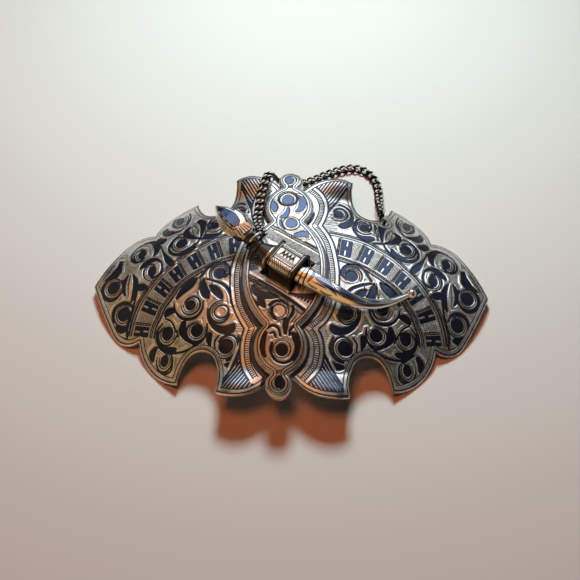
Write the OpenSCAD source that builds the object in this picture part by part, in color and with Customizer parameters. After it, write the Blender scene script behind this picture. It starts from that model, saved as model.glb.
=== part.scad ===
// Sash buckle in two wing-shaped halves of domed silver sheet, fastened by a dagger-shaped pin.
// The pin passes through an arched staple that stands on the left half and comes up through
// a slot in the raised cartouche of the right half. A twisted curb chain holds the pin.

/* [Plates] */
// Reach of each wing from the middle line to its tip
wing_reach = 57.5; // [57:0.1:58]
// Half height of the plates, up to the corner of the fans
plate_half = 36; // [35.8:0.1:36.3]
// Thickness of the silver sheet
sheet = 0.9; // [0.8:0.05:1]
// Height of the outer face over the table in the middle
crown = 13.7; // [13.6:0.05:14]
// Height of the outer face over the table at the wing tips
tip_lift = 2.8; // [2.7:0.05:2.9]
// Fall of the outer face from the middle to the fans, without their flare
fan_fall = 3.9; // [3.7:0.1:4]
// Further fall across a wing at its tip
wing_fall = 27; // [26:0.25:27]
// Height by which the fans flare up again
fan_flare = 3.3; // [3.2:0.1:3.4]

/* [Cartouche] */
// Offset of the cartouche's axis from the middle line
cartouche_x = -1; // [-1.1:0.1:-0.9]
// Height of its face over the plates
cartouche_lift = 2.2; // [2:0.1:2.4]
// Half width of the body
body_half = 11.8; // [11.6:0.1:12]
// Half width of the waists between the body and the lobes
waist_half = 5.1; // [4.9:0.1:5.3]
// Half width of the necks between the lobes and the beads
neck_half = 2.4; // [2.2:0.1:2.6]
// Room between its underside and the left half
slide_gap = 0.3; // [0.2:0.05:0.4]

/* [Staple] */
// Direction of the pin in plan, below the X axis
pin_turn = 34; // [33.5:0.25:34.5]
// Outer half width of the arch, across the pin
staple_half = 4.3; // [4.2:0.05:4.4]
// Half length of the arch, along the pin
staple_len = 4.5; // [4.3:0.05:4.55]
// Height of the arch's top over the cartouche
staple_rise = 5.35; // [5.3:0.05:5.5]
// Thickness of the arch
staple_wall = 0.8; // [0.7:0.05:0.85]
// Room across the pin between the arch and the edge of the slot
slot_room = 1.6; // [1.4:0.1:1.7]
// Room along the pin between the arch and the edge of the slot
slot_play = 1; // [0.8:0.1:1.1]

/* [Pin] */
// Height of the pin's axis over the cartouche
pin_over = 2.25; // [2.2:0.05:2.3]
// Scale of its thickness
pin_girth = 1; // [0.96:0.01:1.01]

/* [Chain] */
// Wire diameter of a link
link_wire = 0.68; // [0.64:0.02:0.7]
// Outer width of a link
link_width = 3; // [2.96:0.02:3.02]
// Outer length of a link
link_length = 4.03; // [4:0.01:4.06]
// Twist of each end of a link out of its plane
link_twist = 58; // [56:1:60]
// Wire diameter of the ring round the pin
hilt_wire = 0.76; // [0.7:0.02:0.8]
// Wire diameter of the ring in the plate
plate_wire = 0.76; // [0.7:0.02:0.8]

/* [Sash bars] */
// Distance of the hidden bars from the middle line
bar_x = 30; // [29:0.5:31]
// Half length of a bar, between its legs
bar_half = 13; // [12:0.5:13.5]
// Height of a bar's upper face over the table
bar_top = 2.6; // [2.4:0.1:2.8]
// Thickness of the strip
bar_thick = 1.2; // [1:0.1:1.3]
// Width of the strip
bar_width = 2.4; // [2.2:0.1:2.6]

/* [Hidden] */
links = 40;
link_names = [for (i = [1:links]) str("chain_link_", i < 10 ? "0" : "", i)];
$fn = 48;
overlap = 0.02;
// The whole length in Y runs from the lower bead to the chain behind the plates
middle_y = 6.06;
silver = [0.72, 0.72, 0.70];
dark_silver = [0.42, 0.41, 0.40];
staple_middle = [-0.2, 0.5];
face_mid = crown + cartouche_lift;
staple_top = face_mid + staple_rise;
pin_axis = face_mid + pin_over;

// Columns of the outline tables
X = 0;
Y = 1;
BULGE = 2;
Z = 2;

// One quarter of a wing, from the tip to the inner end of its fan.
// Each row is a corner, as shares of wing_reach and plate_half, with the bulge in mm of the
// arc that leads to the next row, to the right of the way there.
quarter = [
    [1.000, 0.000, 0.3],
    [0.870, 0.417, 1.7],
    [0.723, 0.497, 2.9],
    [0.515, 0.844, -0.5],
    [0.463, 0.667, -2.1],
    [0.327, 0.706, -0.75],
    [0.310, 0.967, 0.2],
    [0.301, 0.983, 2.1],
];
// Where the right fan and the left fan run under the cartouche
right_fan_end = [3.4, 31.6];
left_fan_end = [-4.6, 32.6];
// The seam between the halves under the cartouche, and the left half's tongue over it
seam_x = -1.2;
seam_gap = 0.3;
seam_y = 28;
tongue_x = 6.9;
tongue_y = 8;

// Right side of the cartouche from bottom to top, in mm from its axis
cartouche_reach = 37;
cartouche_side = [
    [0, -cartouche_reach, 2.31],
    [neck_half, -30.7, 3.4],
    [waist_half, -17, 1.9],
    [body_half, 0, 1.9],
    [waist_half, 17, 3.4],
    [neck_half, 30.7, 2.31],
    [0, cartouche_reach, 0],
];

function smooth(t) = let (u = min(max(t, 0), 1)) u * u * (3 - 2 * u);

// Height of the plates' outer face over the table
fan_x = 16;
fan_spread = 9;
fan_from = 27;
fan_over = 8;
function face_z(x, y) =
    let (across = x / wing_reach, along = y / plate_half)
    crown - (crown - tip_lift) * across * across
    - along * along * (fan_fall + wing_fall * across * across)
    + fan_flare * smooth((abs(y) - fan_from) / fan_over) * exp(-pow((abs(x) - fan_x) / fan_spread, 2));

// Points of an arc from a to b, without b, that bulges by h to the right of the way there
function arc(a, b, h, steps = 8) =
    abs(h) < 0.01 ? [a] :
    let (
        chord = norm(b - a),
        along = (b - a) / chord,
        right = [along[1], -along[0]],
        radius = (chord * chord / 4 + h * h) / (2 * abs(h)),
        half = 2 * atan(2 * abs(h) / chord),
        middle = (a + b) / 2 + right * (h - sign(h) * radius)
    )
    [for (i = [0:steps - 1])
        let (turn = half * (2 * i / steps - 1))
        middle + radius * (sin(turn) * along + cos(turn) * sign(h) * right)];

// A table of rows with bulges as one chain of points, the last row included
function path(rows) =
    let (corners = [for (row = rows) [row[X], row[Y]]], last = len(rows) - 1)
    concat(
        [for (i = [0:last - 1]) each arc(corners[i], corners[i + 1], rows[i][BULGE])],
        [corners[last]]
    );

function reversed(list) = [for (i = [len(list) - 1:-1:0]) list[i]];
function mirrored_y(points) = [for (p = reversed(points)) [p[X], -p[Y]]];
function mirrored_x(points) = [for (p = reversed(points)) [-p[X], p[Y]]];

// Upper right quarter, walked from the tip to the fan, so that a bulge to the right is outward
function quarter_path(fan_end) = path(concat(
    [for (row = quarter) [row[X] * wing_reach, row[Y] * plate_half, row[BULGE]]],
    [[fan_end[X], fan_end[Y], 0]]
));

function right_outline() =
    let (upper = quarter_path(right_fan_end))
    concat(
        upper,
        [[seam_x + seam_gap, seam_y], [seam_x + seam_gap, tongue_y + 2 * seam_gap],
         [tongue_x + seam_gap, tongue_y + 2 * seam_gap], [tongue_x + seam_gap, -tongue_y - 2 * seam_gap],
         [seam_x + seam_gap, -tongue_y - 2 * seam_gap], [seam_x + seam_gap, -seam_y]],
        [for (i = [0:len(upper) - 2]) mirrored_y(upper)[i]]
    );

function left_outline() =
    let (upper = mirrored_x(quarter_path([-left_fan_end[X], left_fan_end[Y]])))
    concat(
        upper,
        [for (i = [1:len(upper) - 1]) mirrored_y(upper)[i]],
        [[seam_x - seam_gap, -seam_y], [seam_x - seam_gap, -tongue_y], [tongue_x, -tongue_y],
         [tongue_x, tongue_y], [seam_x - seam_gap, tongue_y], [seam_x - seam_gap, seam_y]]
    );

function cartouche_outline() =
    let (side = path(cartouche_side))
    [for (p = concat(side, [for (i = [1:len(side) - 2]) mirrored_x(side)[i]])) p + [cartouche_x, 0]];

// A slab that follows the domed face over a grid of lines, from one height over it to another.
// The low height may differ from point to point of the grid.
module domed_slab(xs, ys, high, lows) {
    nx = len(xs);
    ny = len(ys);
    count = nx * ny;
    function low(i, j) = is_num(lows) ? lows : lows[i][j];
    points = concat(
        [for (x = xs) for (y = ys) [x, y, face_z(x, y) + high]],
        [for (i = [0:nx - 1]) for (j = [0:ny - 1]) [xs[i], ys[j], face_z(xs[i], ys[j]) + low(i, j)]]
    );
    function at(i, j, side) = side * count + i * ny + j;
    top = [for (i = [0:nx - 2]) for (j = [0:ny - 2]) each
        [[at(i, j, 0), at(i, j + 1, 0), at(i + 1, j + 1, 0)],
         [at(i, j, 0), at(i + 1, j + 1, 0), at(i + 1, j, 0)]]];
    under = [for (i = [0:nx - 2]) for (j = [0:ny - 2]) each
        [[at(i, j, 1), at(i + 1, j + 1, 1), at(i, j + 1, 1)],
         [at(i, j, 1), at(i + 1, j, 1), at(i + 1, j + 1, 1)]]];
    ends = [for (j = [0:ny - 2]) each
        [[at(0, j, 0), at(0, j, 1), at(0, j + 1, 1)], [at(0, j, 0), at(0, j + 1, 1), at(0, j + 1, 0)],
         [at(nx - 1, j, 0), at(nx - 1, j + 1, 1), at(nx - 1, j, 1)],
         [at(nx - 1, j, 0), at(nx - 1, j + 1, 0), at(nx - 1, j + 1, 1)]]];
    sides = [for (i = [0:nx - 2]) each
        [[at(i, 0, 0), at(i + 1, 0, 1), at(i, 0, 1)], [at(i, 0, 0), at(i + 1, 0, 0), at(i + 1, 0, 1)],
         [at(i, ny - 1, 0), at(i, ny - 1, 1), at(i + 1, ny - 1, 1)],
         [at(i, ny - 1, 0), at(i + 1, ny - 1, 1), at(i + 1, ny - 1, 0)]]];
    polyhedron(points, concat(top, under, ends, sides), convexity = 4);
}

function steps(a, b, n) = [for (i = [0:n]) a + (b - a) * i / n];

// Places what is drawn with X along the pin and Y across it
module along_pin() {
    translate([staple_middle[X], staple_middle[Y], 0]) rotate([0, 0, -pin_turn]) children();
}

// Moves the finished piece so that the whole stands over the origin
module seated() {
    translate([0, -middle_y, 0]) children();
}

module staple() {
    shoulder = 1.6;
    low = face_z(0, 0) - sheet / 2;
    function half_arch(w, top, r) = concat(
        [[w, low]],
        [for (a = [0:15:90]) [w - r + r * cos(a), top - r + r * sin(a)]]
    );
    function arch(w, top, r) = concat(half_arch(w, top, r), mirrored_x(half_arch(w, top, r)));
    inner_half = staple_half - staple_wall;
    inner_top = staple_top - staple_wall;
    along_pin()
        rotate([90, 0, 90])
            translate([0, 0, -staple_len]) linear_extrude(2 * staple_len) difference() {
                polygon(arch(staple_half, staple_top, shoulder));
                translate([0, -overlap]) polygon(arch(inner_half, inner_top, shoulder - staple_wall));
            }
}

// A plain strip with two legs under a half, which the sash is folded round
module sash_bar(x) {
    leg = 1.2;
    into = 0.5;
    low = bar_top - bar_thick;
    high = face_z(x, bar_half + leg) - into;
    translate([x - bar_width / 2, -bar_half - leg, low]) cube([bar_width, 2 * (bar_half + leg), bar_thick]);
    for (side = [0, 1]) mirror([0, side, 0])
        translate([x - bar_width / 2, bar_half, low]) cube([bar_width, leg, high - low]);
}

// The slabs are drawn with a margin and sawn to the outlines with a cutter taller than the buckle
margin = 0.6;
over_all = crown + 10;
plate_reach = wing_reach + margin;
plate_high = plate_half + 2 * margin;
plate_strips = 24;
plate_rows = steps(-plate_high, plate_high, plate_strips);

module left_plate() {
    columns = 19;
    seated() color(silver) {
        intersection() {
            domed_slab(steps(-plate_reach, tongue_x + margin, columns), plate_rows, 0, -sheet);
            linear_extrude(over_all) polygon(left_outline());
        }
        staple();
        sash_bar(-bar_x);
    }
}

module right_plate() {
    columns = 18;
    seated() color(silver) {
        difference() {
            intersection() {
                domed_slab(steps(seam_x - seam_gap, plate_reach, columns), plate_rows, 0, -sheet);
                linear_extrude(over_all) polygon(right_outline());
            }
            plate_hole();
        }
        cartouche();
        sash_bar(bar_x);
    }
}

// The raised slab stands clear of the left half and its tongue, and sinks into the right half
module cartouche() {
    sunk = -0.4;
    ledge = 0.15;
    past = 0.05;
    hair = 0.01;
    half = body_half + margin;
    reach = cartouche_reach + margin;
    seam_edge = seam_x + seam_gap + past;
    tongue_edge = tongue_x + seam_gap + past;
    row_edge = tongue_y + 2 * seam_gap + past;
    xs = concat(
        steps(cartouche_x - half, seam_edge, 4),
        steps(seam_edge + ledge, tongue_edge, 3),
        steps(tongue_edge + ledge, cartouche_x + half, 2)
    );
    ys = concat(
        steps(-reach, -row_edge - ledge, 10),
        steps(-row_edge, row_edge, 6),
        steps(row_edge + ledge, reach, 10)
    );
    function over_left(x, y) =
        x < seam_edge + hair || (x < tongue_edge + hair && abs(y) < row_edge + hair);
    lows = [for (x = xs) [for (y = ys) over_left(x, y) ? slide_gap : sunk]];
    slot_u = staple_len + slot_play;
    slot_v = staple_half + slot_room;
    difference() {
        intersection() {
            domed_slab(xs, ys, cartouche_lift, lows);
            linear_extrude(over_all) polygon(cartouche_outline());
        }
        along_pin() translate([-slot_u, -slot_v, 0]) cube([2 * slot_u, 2 * slot_v, over_all]);
    }
}

// The hole beside the notch of the right half, for the chain's ring, as shares of the reach and
// the half height
hole_shares = [0.4748, 0.6194];
hole_at = [hole_shares[X] * wing_reach, hole_shares[Y] * plate_half];
hole_r = 0.9;
module plate_hole() {
    translate([hole_at[X], hole_at[Y], 0]) cylinder(r = hole_r, h = over_all);
}

function unit(v) = v / norm(v);

// A smooth line through all rows of a table, with n steps from row to row
function spline(rows, n) =
    let (last = len(rows) - 1)
    concat(
        [for (i = [0:last - 1])
            let (a = rows[max(i - 1, 0)], b = rows[i], c = rows[i + 1], d = rows[min(i + 2, last)])
            for (k = [0:n - 1])
                let (t = k / n)
                (2 * b + (c - a) * t + (2 * a - 5 * b + 4 * c - d) * pow(t, 2)
                 + (3 * b - a - 3 * c + d) * pow(t, 3)) / 2],
        [rows[last]]
    );

// Faces of a tube of n rings with m points each, closed on itself or capped
function tube_faces(n, m, closed) = concat(
    [for (i = [0:n - (closed ? 1 : 2)]) for (j = [0:m - 1])
        let (k = (i + 1) % n, l = (j + 1) % m)
        each [[i * m + j, k * m + j, k * m + l], [i * m + j, k * m + l, i * m + l]]],
    closed ? [] : [[for (j = [0:m - 1]) j], [for (j = [m - 1:-1:0]) (n - 1) * m + j]]
);

// Pin, from the pommel's point to the ball at the sheath's end.
// U runs along the pin from the staple's middle, V across it, RISE counts from the pin's axis;
// WIDE and TALL are half sizes; FACET is 1 for six flat sides and 0 for a round section.
U = 0;
V = 1;
RISE = 2;
WIDE = 3;
TALL = 4;
FACET = 5;
hilt_rows = [
    [-26.9, 1.96, 2.85, 0.25, 0.25, 1],
    [-23.9, 1.47, 2.55, 2.6, 2.2, 1],
    [-21.2, 1.25, 2.25, 3.9, 3.0, 1],
    [-19, 1.0, 2.05, 4.3, 3.3, 1],
    [-16.7, 0.62, 1.8, 3.95, 3.4, 1],
    [-14.3, 0, 1.55, 3.2, 3.2, 1],
    [-13.8, -0.1, 1.35, 2.2, 2.1, 0.5],
    [-12.3, -0.5, 1.1, 1.65, 1.65, 0],
    [-10.7, -0.68, 0.88, 1.6, 1.6, 0],
    [-10.1, -0.7, 0.78, 1.7, 1.7, 0],
    [-9.9, -0.71, 0.74, 2.15, 2.05, 0],
    [-9.2, -0.73, 0.62, 2.15, 2.05, 0],
    [-9, -0.74, 0.58, 1.8, 1.75, 0],
    [-8.2, -0.75, 0.44, 2.2, 1.9, 0],
    [-6.4, -0.74, 0.2, 3.1, 2.1, 0],
    [-5.4, -0.72, 0.1, 3.85, 2.2, 0],
    [-4.85, -0.7, 0.08, 3.85, 2.2, 0],
    [-4.8, -0.7, 0.07, 2.65, 2.05, 0],
];
sheath_rows = [
    [-0.5, -0.5, 0, 2.8, 2.05, 0],
    [5.8, -0.5, 0, 2.75, 2.05, 0.3],
    [6, -0.48, 0, 3, 2.1, 0.3],
    [6.9, -0.35, 0, 3, 2.1, 0.3],
    [7.1, -0.3, 0, 2.75, 2.05, 0.5],
];
blade_rows = [
    [7.2, -0.28, -0.01, 2.75, 2.05, 0.5],
    [13.67, 0.16, -0.5, 2.55, 2.05, 0.4],
    [18.63, 1.18, -1.55, 2.2, 1.9, 0.4],
    [22.47, 2.85, -2.75, 1.8, 1.6, 0.4],
    [26.3, 6.07, -4.15, 1.45, 1.3, 0.4],
    [28.81, 9.87, -5.5, 1.1, 1, 0.3],
    [30.7, 14.1, -6.5, 0.7, 0.7, 0],
];
// Ball at the end: half angle from its near pole at which each ring stands
ball_r = 1.45;
ball_mid = [31.31, 15.57, -6.82];
ball_way = unit([0.39, 0.92, -0.12]);
ball_angles = [40, 65, 90, 115, 140, 165];
blade_steps = 3;

function pin_rows() = concat(
    hilt_rows,
    sheath_rows,
    spline(blade_rows, blade_steps),
    [for (a = ball_angles)
        let (p = ball_mid - ball_way * ball_r * cos(a))
        [p[X], p[Y], p[Z], ball_r * sin(a), ball_r * sin(a), 0]]
);

module dagger_pin() {
    sides = 12;
    rows = pin_rows();
    last = len(rows) - 1;
    flat = 1 - cos(30);
    middles = [for (row = rows) [row[U], row[V], pin_axis + row[RISE]]];
    points = [for (i = [0:last])
        let (
            way = unit(middles[min(i + 1, last)] - middles[max(i - 1, 0)]),
            side = unit(cross([0, 0, 1], way)),
            up = cross(way, side)
        )
        for (j = [0:sides - 1])
            let (angle = 360 * j / sides, share = pin_girth * (j % 2 == 1 ? 1 - rows[i][FACET] * flat : 1))
            middles[i] + share * (rows[i][WIDE] * cos(angle) * side + rows[i][TALL] * sin(angle) * up)];
    seated() color(silver) along_pin() polyhedron(points, tube_faces(last + 1, sides, false), convexity = 6);
}

// The grooved neck where the ring hangs, and the ring's two directions across it
neck_rise = 0.95;
neck_at = [-10.1, 6.4, pin_axis + neck_rise];
neck_way = unit([3.3, -3, -0.7]);
neck_side = unit(cross(neck_way, [0, 0, 1]));
hilt_lean = 5;
hilt_out = -neck_side * cos(hilt_lean) - cross(neck_way, neck_side) * sin(hilt_lean);
hilt_r = 3;
hilt_pull = 0.8;
hilt_middle = neck_at + hilt_pull * hilt_out;
hilt_far = hilt_middle + hilt_r * hilt_out;

// The ring in the plate stands in its hole and reaches over the notch's edge
ring_r = 2;
ring_out = unit([-0.16, 0.98, -0.12]);
ring_tilt = 20;
ring_up = unit([0, 0, 1] - ring_out * ring_out[Z]);
ring_way = ring_up * cos(ring_tilt) + cross(ring_out, ring_up) * sin(ring_tilt);
ring_middle = [hole_at[X], hole_at[Y], face_z(hole_at[X], hole_at[Y]) - sheet / 2] + ring_r * ring_out;
ring_far = ring_middle + ring_r * ring_out;

// A ring of round wire in the plane of the directions a and b
module wire_ring(middle, a, b, r, wire) {
    turns = 28;
    sides = 10;
    points = [for (i = [0:turns - 1])
        let (out = a * cos(360 * i / turns) + b * sin(360 * i / turns), over = cross(a, b))
        for (j = [0:sides - 1])
            let (angle = 360 * j / sides)
            middle + r * out + wire / 2 * (cos(angle) * out - sin(angle) * over)];
    polyhedron(points, tube_faces(turns, sides, true), convexity = 4);
}

module hilt_ring() {
    seated() color(dark_silver) wire_ring(hilt_middle, hilt_out, cross(neck_way, hilt_out), hilt_r, hilt_wire);
}

module plate_ring() {
    seated() color(dark_silver) wire_ring(ring_middle, ring_out, ring_way, ring_r, plate_wire);
}

// Middle line of the chain from the pin's ring to the plate's ring.
// HEIGHT counts from the plates' face where ON is 1, and from the table where it is 0.
HEIGHT = 2;
ON = 3;
chain_rows = [
    [-9, 13.4, 3.75, 1],
    [-9.8, 17, 2.15, 1],
    [-9.8, 20.8, 1.4, 1],
    [-9.6, 25.6, 1.75, 1],
    [-9.2, 29.6, 2, 1],
    [-8.5, 32.6, 2.05, 1],
    [-8, 34.8, 1.8, 1],
    [-7.7, 36.6, 11.05, 0],
    [-7.2, 37.8, 9.05, 0],
    [-6.4, 38.6, 6.7, 0],
    [-5, 39.2, 4.4, 0],
    [-3, 39.9, 2.5, 0],
    [-0.4, 40.6, 1.3, 0],
    [2.6, 41.4, 1.12, 0],
    [6, 42.9, 1.05, 0],
    [9.8, 45, 1.01, 0],
    [14, 46.9, 0.97, 0],
    [18.3, 47.7, 0.95, 0],
    [21.9, 46.5, 0.94, 0],
    [24.6, 43.5, 0.94, 0],
    [25.8, 39.9, 1.06, 0],
    [26.1, 36, 1.7, 0],
    [26.1, 32.6, 3.3, 0],
];
link_half = (link_length - link_wire) / 2;
// How far the end links reach past the rings' wire, the room between the wires included
first_room = 0.53;
last_room = 0.31;
first_bite = hilt_wire / 2 + link_wire / 2 + first_room;
last_bite = plate_wire / 2 + link_wire / 2 + last_room;
first_way = unit([-0.1, 0.86, -0.4]);
last_way = unit([-0.05, 0.75, -0.62]);
chain_first = hilt_far + first_way * (link_half - first_bite);
chain_last = ring_far + last_way * (link_half - last_bite);
chain_steps = 12;
chain_line = spline(concat(
    [chain_first],
    [for (row = chain_rows) [row[X], row[Y], row[HEIGHT] + (row[ON] == 1 ? face_z(row[X], row[Y]) : 0)]],
    [chain_last]
), chain_steps);
chain_ends = len(chain_line) - 1;
// Length of the line up to each of its points
chain_sums = [for (i = 0, s = 0; i <= chain_ends;
    s = s + (i < chain_ends ? norm(chain_line[i + 1] - chain_line[i]) : 0), i = i + 1) s];
link_pitch = chain_sums[chain_ends] / (links - 1);

// Index of the last point of the line that lies before length s
function place(s, low = 0, high = chain_ends) =
    high - low < 2 ? low :
    let (half = floor((low + high) / 2))
    chain_sums[half] > s ? place(s, low, half) : place(s, half, high);

function chain_at(s) =
    let (
        t = min(max(s, 0), chain_sums[chain_ends]),
        i = place(t),
        share = (t - chain_sums[i]) / (chain_sums[i + 1] - chain_sums[i])
    )
    chain_line[i] + (chain_line[i + 1] - chain_line[i]) * share;

link_ways = [for (k = [0:links - 1])
    unit(chain_at((k + 0.5) * link_pitch) - chain_at((k - 0.5) * link_pitch))];

// Upward direction of each link: carried on from the link before and drawn back to the vertical
settle = 0.3;
function across(v, way) = unit(v - (v * way) * way);
link_ups = [for (k = 0, up = across([0, 0, 1], link_ways[0]); k < links;
    k = k + 1, up = k < links ? across(up + [0, 0, settle], link_ways[k]) : up) up];

// The end links are rolled so that they sit square on the two rings
first_roll = 27;
last_roll = -32;
first_rolled = 6;
last_rolled = 7;
function link_roll(k) =
    first_roll * max(0, 1 - k / first_rolled)
    + last_roll * max(0, 1 - (links - 1 - k) / last_rolled);

// Middle line of a link's wire, twisted from one end to the other
link_steps = 14;
square = 0.85;
function shaped(v) = sign(v) * pow(abs(v), square);
function link_line(k) =
    let (
        middle = chain_at(k * link_pitch),
        way = link_ways[k],
        level = cross(link_ups[k], way),
        roll = link_roll(k),
        side = level * cos(roll) + link_ups[k] * sin(roll),
        up = link_ups[k] * cos(roll) - level * sin(roll)
    )
    [for (i = [0:link_steps - 1])
        let (
            angle = 360 * i / link_steps,
            y = (link_width - link_wire) / 2 * shaped(sin(angle)),
            twist = link_twist * cos(angle)
        )
        [middle + link_half * shaped(cos(angle)) * way + y * (cos(twist) * side + sin(twist) * up), middle]];

module chain_link(k) {
    sides = 6;
    line = link_line(k);
    points = [for (i = [0:link_steps - 1])
        let (
            here = line[i][0],
            way = unit(line[(i + 1) % link_steps][0] - line[(i + link_steps - 1) % link_steps][0]),
            out = across(here - line[i][1], way),
            over = cross(way, out)
        )
        for (j = [0:sides - 1])
            let (angle = 360 * j / sides)
            here + link_wire / 2 * (cos(angle) * out + sin(angle) * over)];
    seated() color(dark_silver) polyhedron(points, tube_faces(link_steps, sides, true), convexity = 4);
}

left_plate();
right_plate();
dagger_pin();
hilt_ring();
plate_ring();
for (k = [0:links - 1]) chain_link(k);
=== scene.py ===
import bpy
import numpy as np
from mathutils import Matrix, Vector


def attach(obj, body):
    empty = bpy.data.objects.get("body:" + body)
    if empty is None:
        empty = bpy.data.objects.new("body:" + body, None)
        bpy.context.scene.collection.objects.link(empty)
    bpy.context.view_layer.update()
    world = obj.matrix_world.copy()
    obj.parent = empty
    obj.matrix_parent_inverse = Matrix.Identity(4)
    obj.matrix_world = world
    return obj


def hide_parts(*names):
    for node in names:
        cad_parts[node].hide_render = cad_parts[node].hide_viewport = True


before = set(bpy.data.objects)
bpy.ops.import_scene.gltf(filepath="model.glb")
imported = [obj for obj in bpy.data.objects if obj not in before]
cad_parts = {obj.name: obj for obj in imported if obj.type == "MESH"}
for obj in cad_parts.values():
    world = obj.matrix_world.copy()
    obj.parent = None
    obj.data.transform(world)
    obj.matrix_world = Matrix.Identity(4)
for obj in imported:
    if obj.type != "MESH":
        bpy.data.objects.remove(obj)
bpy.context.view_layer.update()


# The two wings. Each half is domed silver sheet, sawn to a winged outline. The scrolls, the band of
# squares and the fans are cut with a graver, filled with niello and polished level, so the ribbons
# of silver between them stand a little proud.
MM = 0.001
# The plates' middle is this far in front of the frame's, because the chain lies behind them
SEAT = 6.06
REACH, HALF, SHEET = 57.5, 36.0, 0.9
# Height of the dome in the middle and at the tips, its falls towards the fans, and their flare
CROWN, TIP_LIFT, FAN_FALL, WING_FALL, FAN_FLARE = 13.7, 2.8, 3.9, 27.0, 3.3
# Steps of the grids that the faces and the hidden backs are sawn from, and a distance past all cuts
WING_GRAIN, BACK_GRAIN, FAR = 0.22, 1.0, 9.0

# One quarter of a wing from the tip to the inner end of its fan: a corner, as shares of the
# reach and the half height, and the bulge in mm of the arc that leads to the next one
QUARTER = [
    (1.000, 0.000, 0.3), (0.870, 0.417, 1.7), (0.723, 0.497, 2.9), (0.515, 0.844, -0.5),
    (0.463, 0.667, -2.1), (0.327, 0.706, -0.75), (0.310, 0.967, 0.2), (0.301, 0.983, 2.1),
]


def eased(t):
    t = np.clip(t, 0, 1)
    return t * t * (3 - 2 * t)


def dome(x, y):
    across, along = x / REACH, y / HALF
    flare = FAN_FLARE * eased((np.abs(y) - 27) / 8) * np.exp(-(((np.abs(x) - 16) / 9) ** 2))
    fall = along**2 * (FAN_FALL + WING_FALL * across**2)
    return CROWN - (CROWN - TIP_LIFT) * across**2 - fall + flare


def arc(a, b, bulge, count=10):
    """Points from a to b, without b, on an arc that bulges to the right of the way there."""
    a, b = np.array(a, float), np.array(b, float)
    if abs(bulge) < 0.01:
        return [a]
    chord = np.linalg.norm(b - a)
    along = (b - a) / chord
    right = np.array([along[1], -along[0]])
    radius = (chord**2 / 4 + bulge**2) / (2 * abs(bulge))
    half = 2 * np.arctan(2 * abs(bulge) / chord)
    middle = (a + b) / 2 + right * (bulge - np.sign(bulge) * radius)
    turns = half * (2 * np.arange(count) / count - 1)
    return [middle + radius * (np.sin(t) * along + np.cos(t) * np.sign(bulge) * right) for t in turns]


def corners_path(rows):
    """A chain of points through rows of (x, y, bulge)."""
    points = []
    for here, there in zip(rows, rows[1:]):
        points += arc(here[:2], there[:2], here[2])
    return points + [np.array(rows[-1][:2], float)]


def quarter(fan_end):
    return np.array(corners_path([(u * REACH, v * HALF, h) for u, v, h in QUARTER] + [(*fan_end, 0)]))


def flipped(points, signs):
    return points[::-1] * signs


def nearest(points, loop, closed=True):
    """Distance from each point to a chain of points, and the nearest place on it."""
    ends = np.roll(loop, -1, 0) if closed else loop[1:]
    best = np.full(len(points), 1e9)
    place = np.zeros_like(points)
    for a, b in zip(loop, ends):
        way = b - a
        t = np.clip((points - a) @ way / max(way @ way, 1e-12), 0, 1)
        there = a + t[:, None] * way
        gap = np.linalg.norm(points - there, axis=1)
        closer = gap < best
        best[closer], place[closer] = gap[closer], there[closer]
    return best, place


def within(points, loops):
    """Whether each point lies inside an odd number of the closed loops."""
    inside = np.zeros(len(points), bool)
    x, y = points.T
    for loop in loops:
        for (ax, ay), (bx, by) in zip(loop, np.roll(loop, -1, 0)):
            if ay != by:
                crosses = (ay > y) != (by > y)
                inside ^= crosses & (x < ax + (bx - ax) * (y - ay) / (by - ay))
    return inside


def net(rows, columns, rows_closed=False, columns_closed=False):
    """The quads of a net of points given row by row, open or closed to a ring each way."""
    i, j = np.meshgrid(np.arange(rows if rows_closed else rows - 1),
                       np.arange(columns if columns_closed else columns - 1), indexing="ij")
    i, j = i.ravel(), j.ravel()
    here, after, beside = i * columns, (i + 1) % rows * columns, (j + 1) % columns
    return np.stack([here + j, after + j, after + beside, here + beside], 1)


def sawn(loops, grain):
    """A flat grid sawn to the loops: its points, its quads, and the edges along the saw cut."""
    low, high = loops[0].min(0) - grain, loops[0].max(0) + grain
    xs, ys = np.arange(low[0], high[0], grain), np.arange(low[1], high[1], grain)
    points = np.stack(np.meshgrid(xs, ys, indexing="ij"), -1).reshape(-1, 2)
    quads = net(len(xs), len(ys))
    quads = quads[within(points[quads].mean(1), loops)]
    used, quads = np.unique(quads, return_inverse=True)
    points, quads = points[used], quads.reshape(-1, 4)
    edges = np.concatenate([quads[:, [k, (k + 1) % 4]] for k in range(4)])
    key = edges[:, 0] * len(points) + edges[:, 1]
    back = edges[:, 1] * len(points) + edges[:, 0]
    rim = edges[~np.isin(key, back)]
    on_rim = np.unique(rim)
    places = [nearest(points[on_rim], loop) for loop in loops]
    pick = np.argmin([gap for gap, _ in places], 0)
    points[on_rim] = np.array([place for _, place in places])[pick, np.arange(len(on_rim))]
    for loop in loops:
        into, out = loop - np.roll(loop, 1, 0), np.roll(loop, -1, 0) - loop
        turn = np.abs(into[:, 0] * out[:, 1] - into[:, 1] * out[:, 0])
        sharp = turn > 0.35 * np.linalg.norm(into, axis=1) * np.linalg.norm(out, axis=1)
        for corner in loop[sharp]:
            closest = on_rim[np.argmin(np.linalg.norm(points[on_rim] - corner, axis=1))]
            points[closest] = corner
    return points, quads, rim


def spline(rows, count=6):
    """A smooth chain of points through all rows of a table, whatever its number of columns."""
    rows = np.array(rows, float)
    last = len(rows) - 1
    made = []
    for i in range(last):
        a, b, c, d = rows[max(i - 1, 0)], rows[i], rows[i + 1], rows[min(i + 2, last)]
        for t in np.arange(count) / count:
            made.append((2 * b + (c - a) * t + (2 * a - 5 * b + 4 * c - d) * t**2
                         + (3 * b - a - 3 * c + d) * t**3) / 2)
    return np.array(made + [rows[last]])


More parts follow.
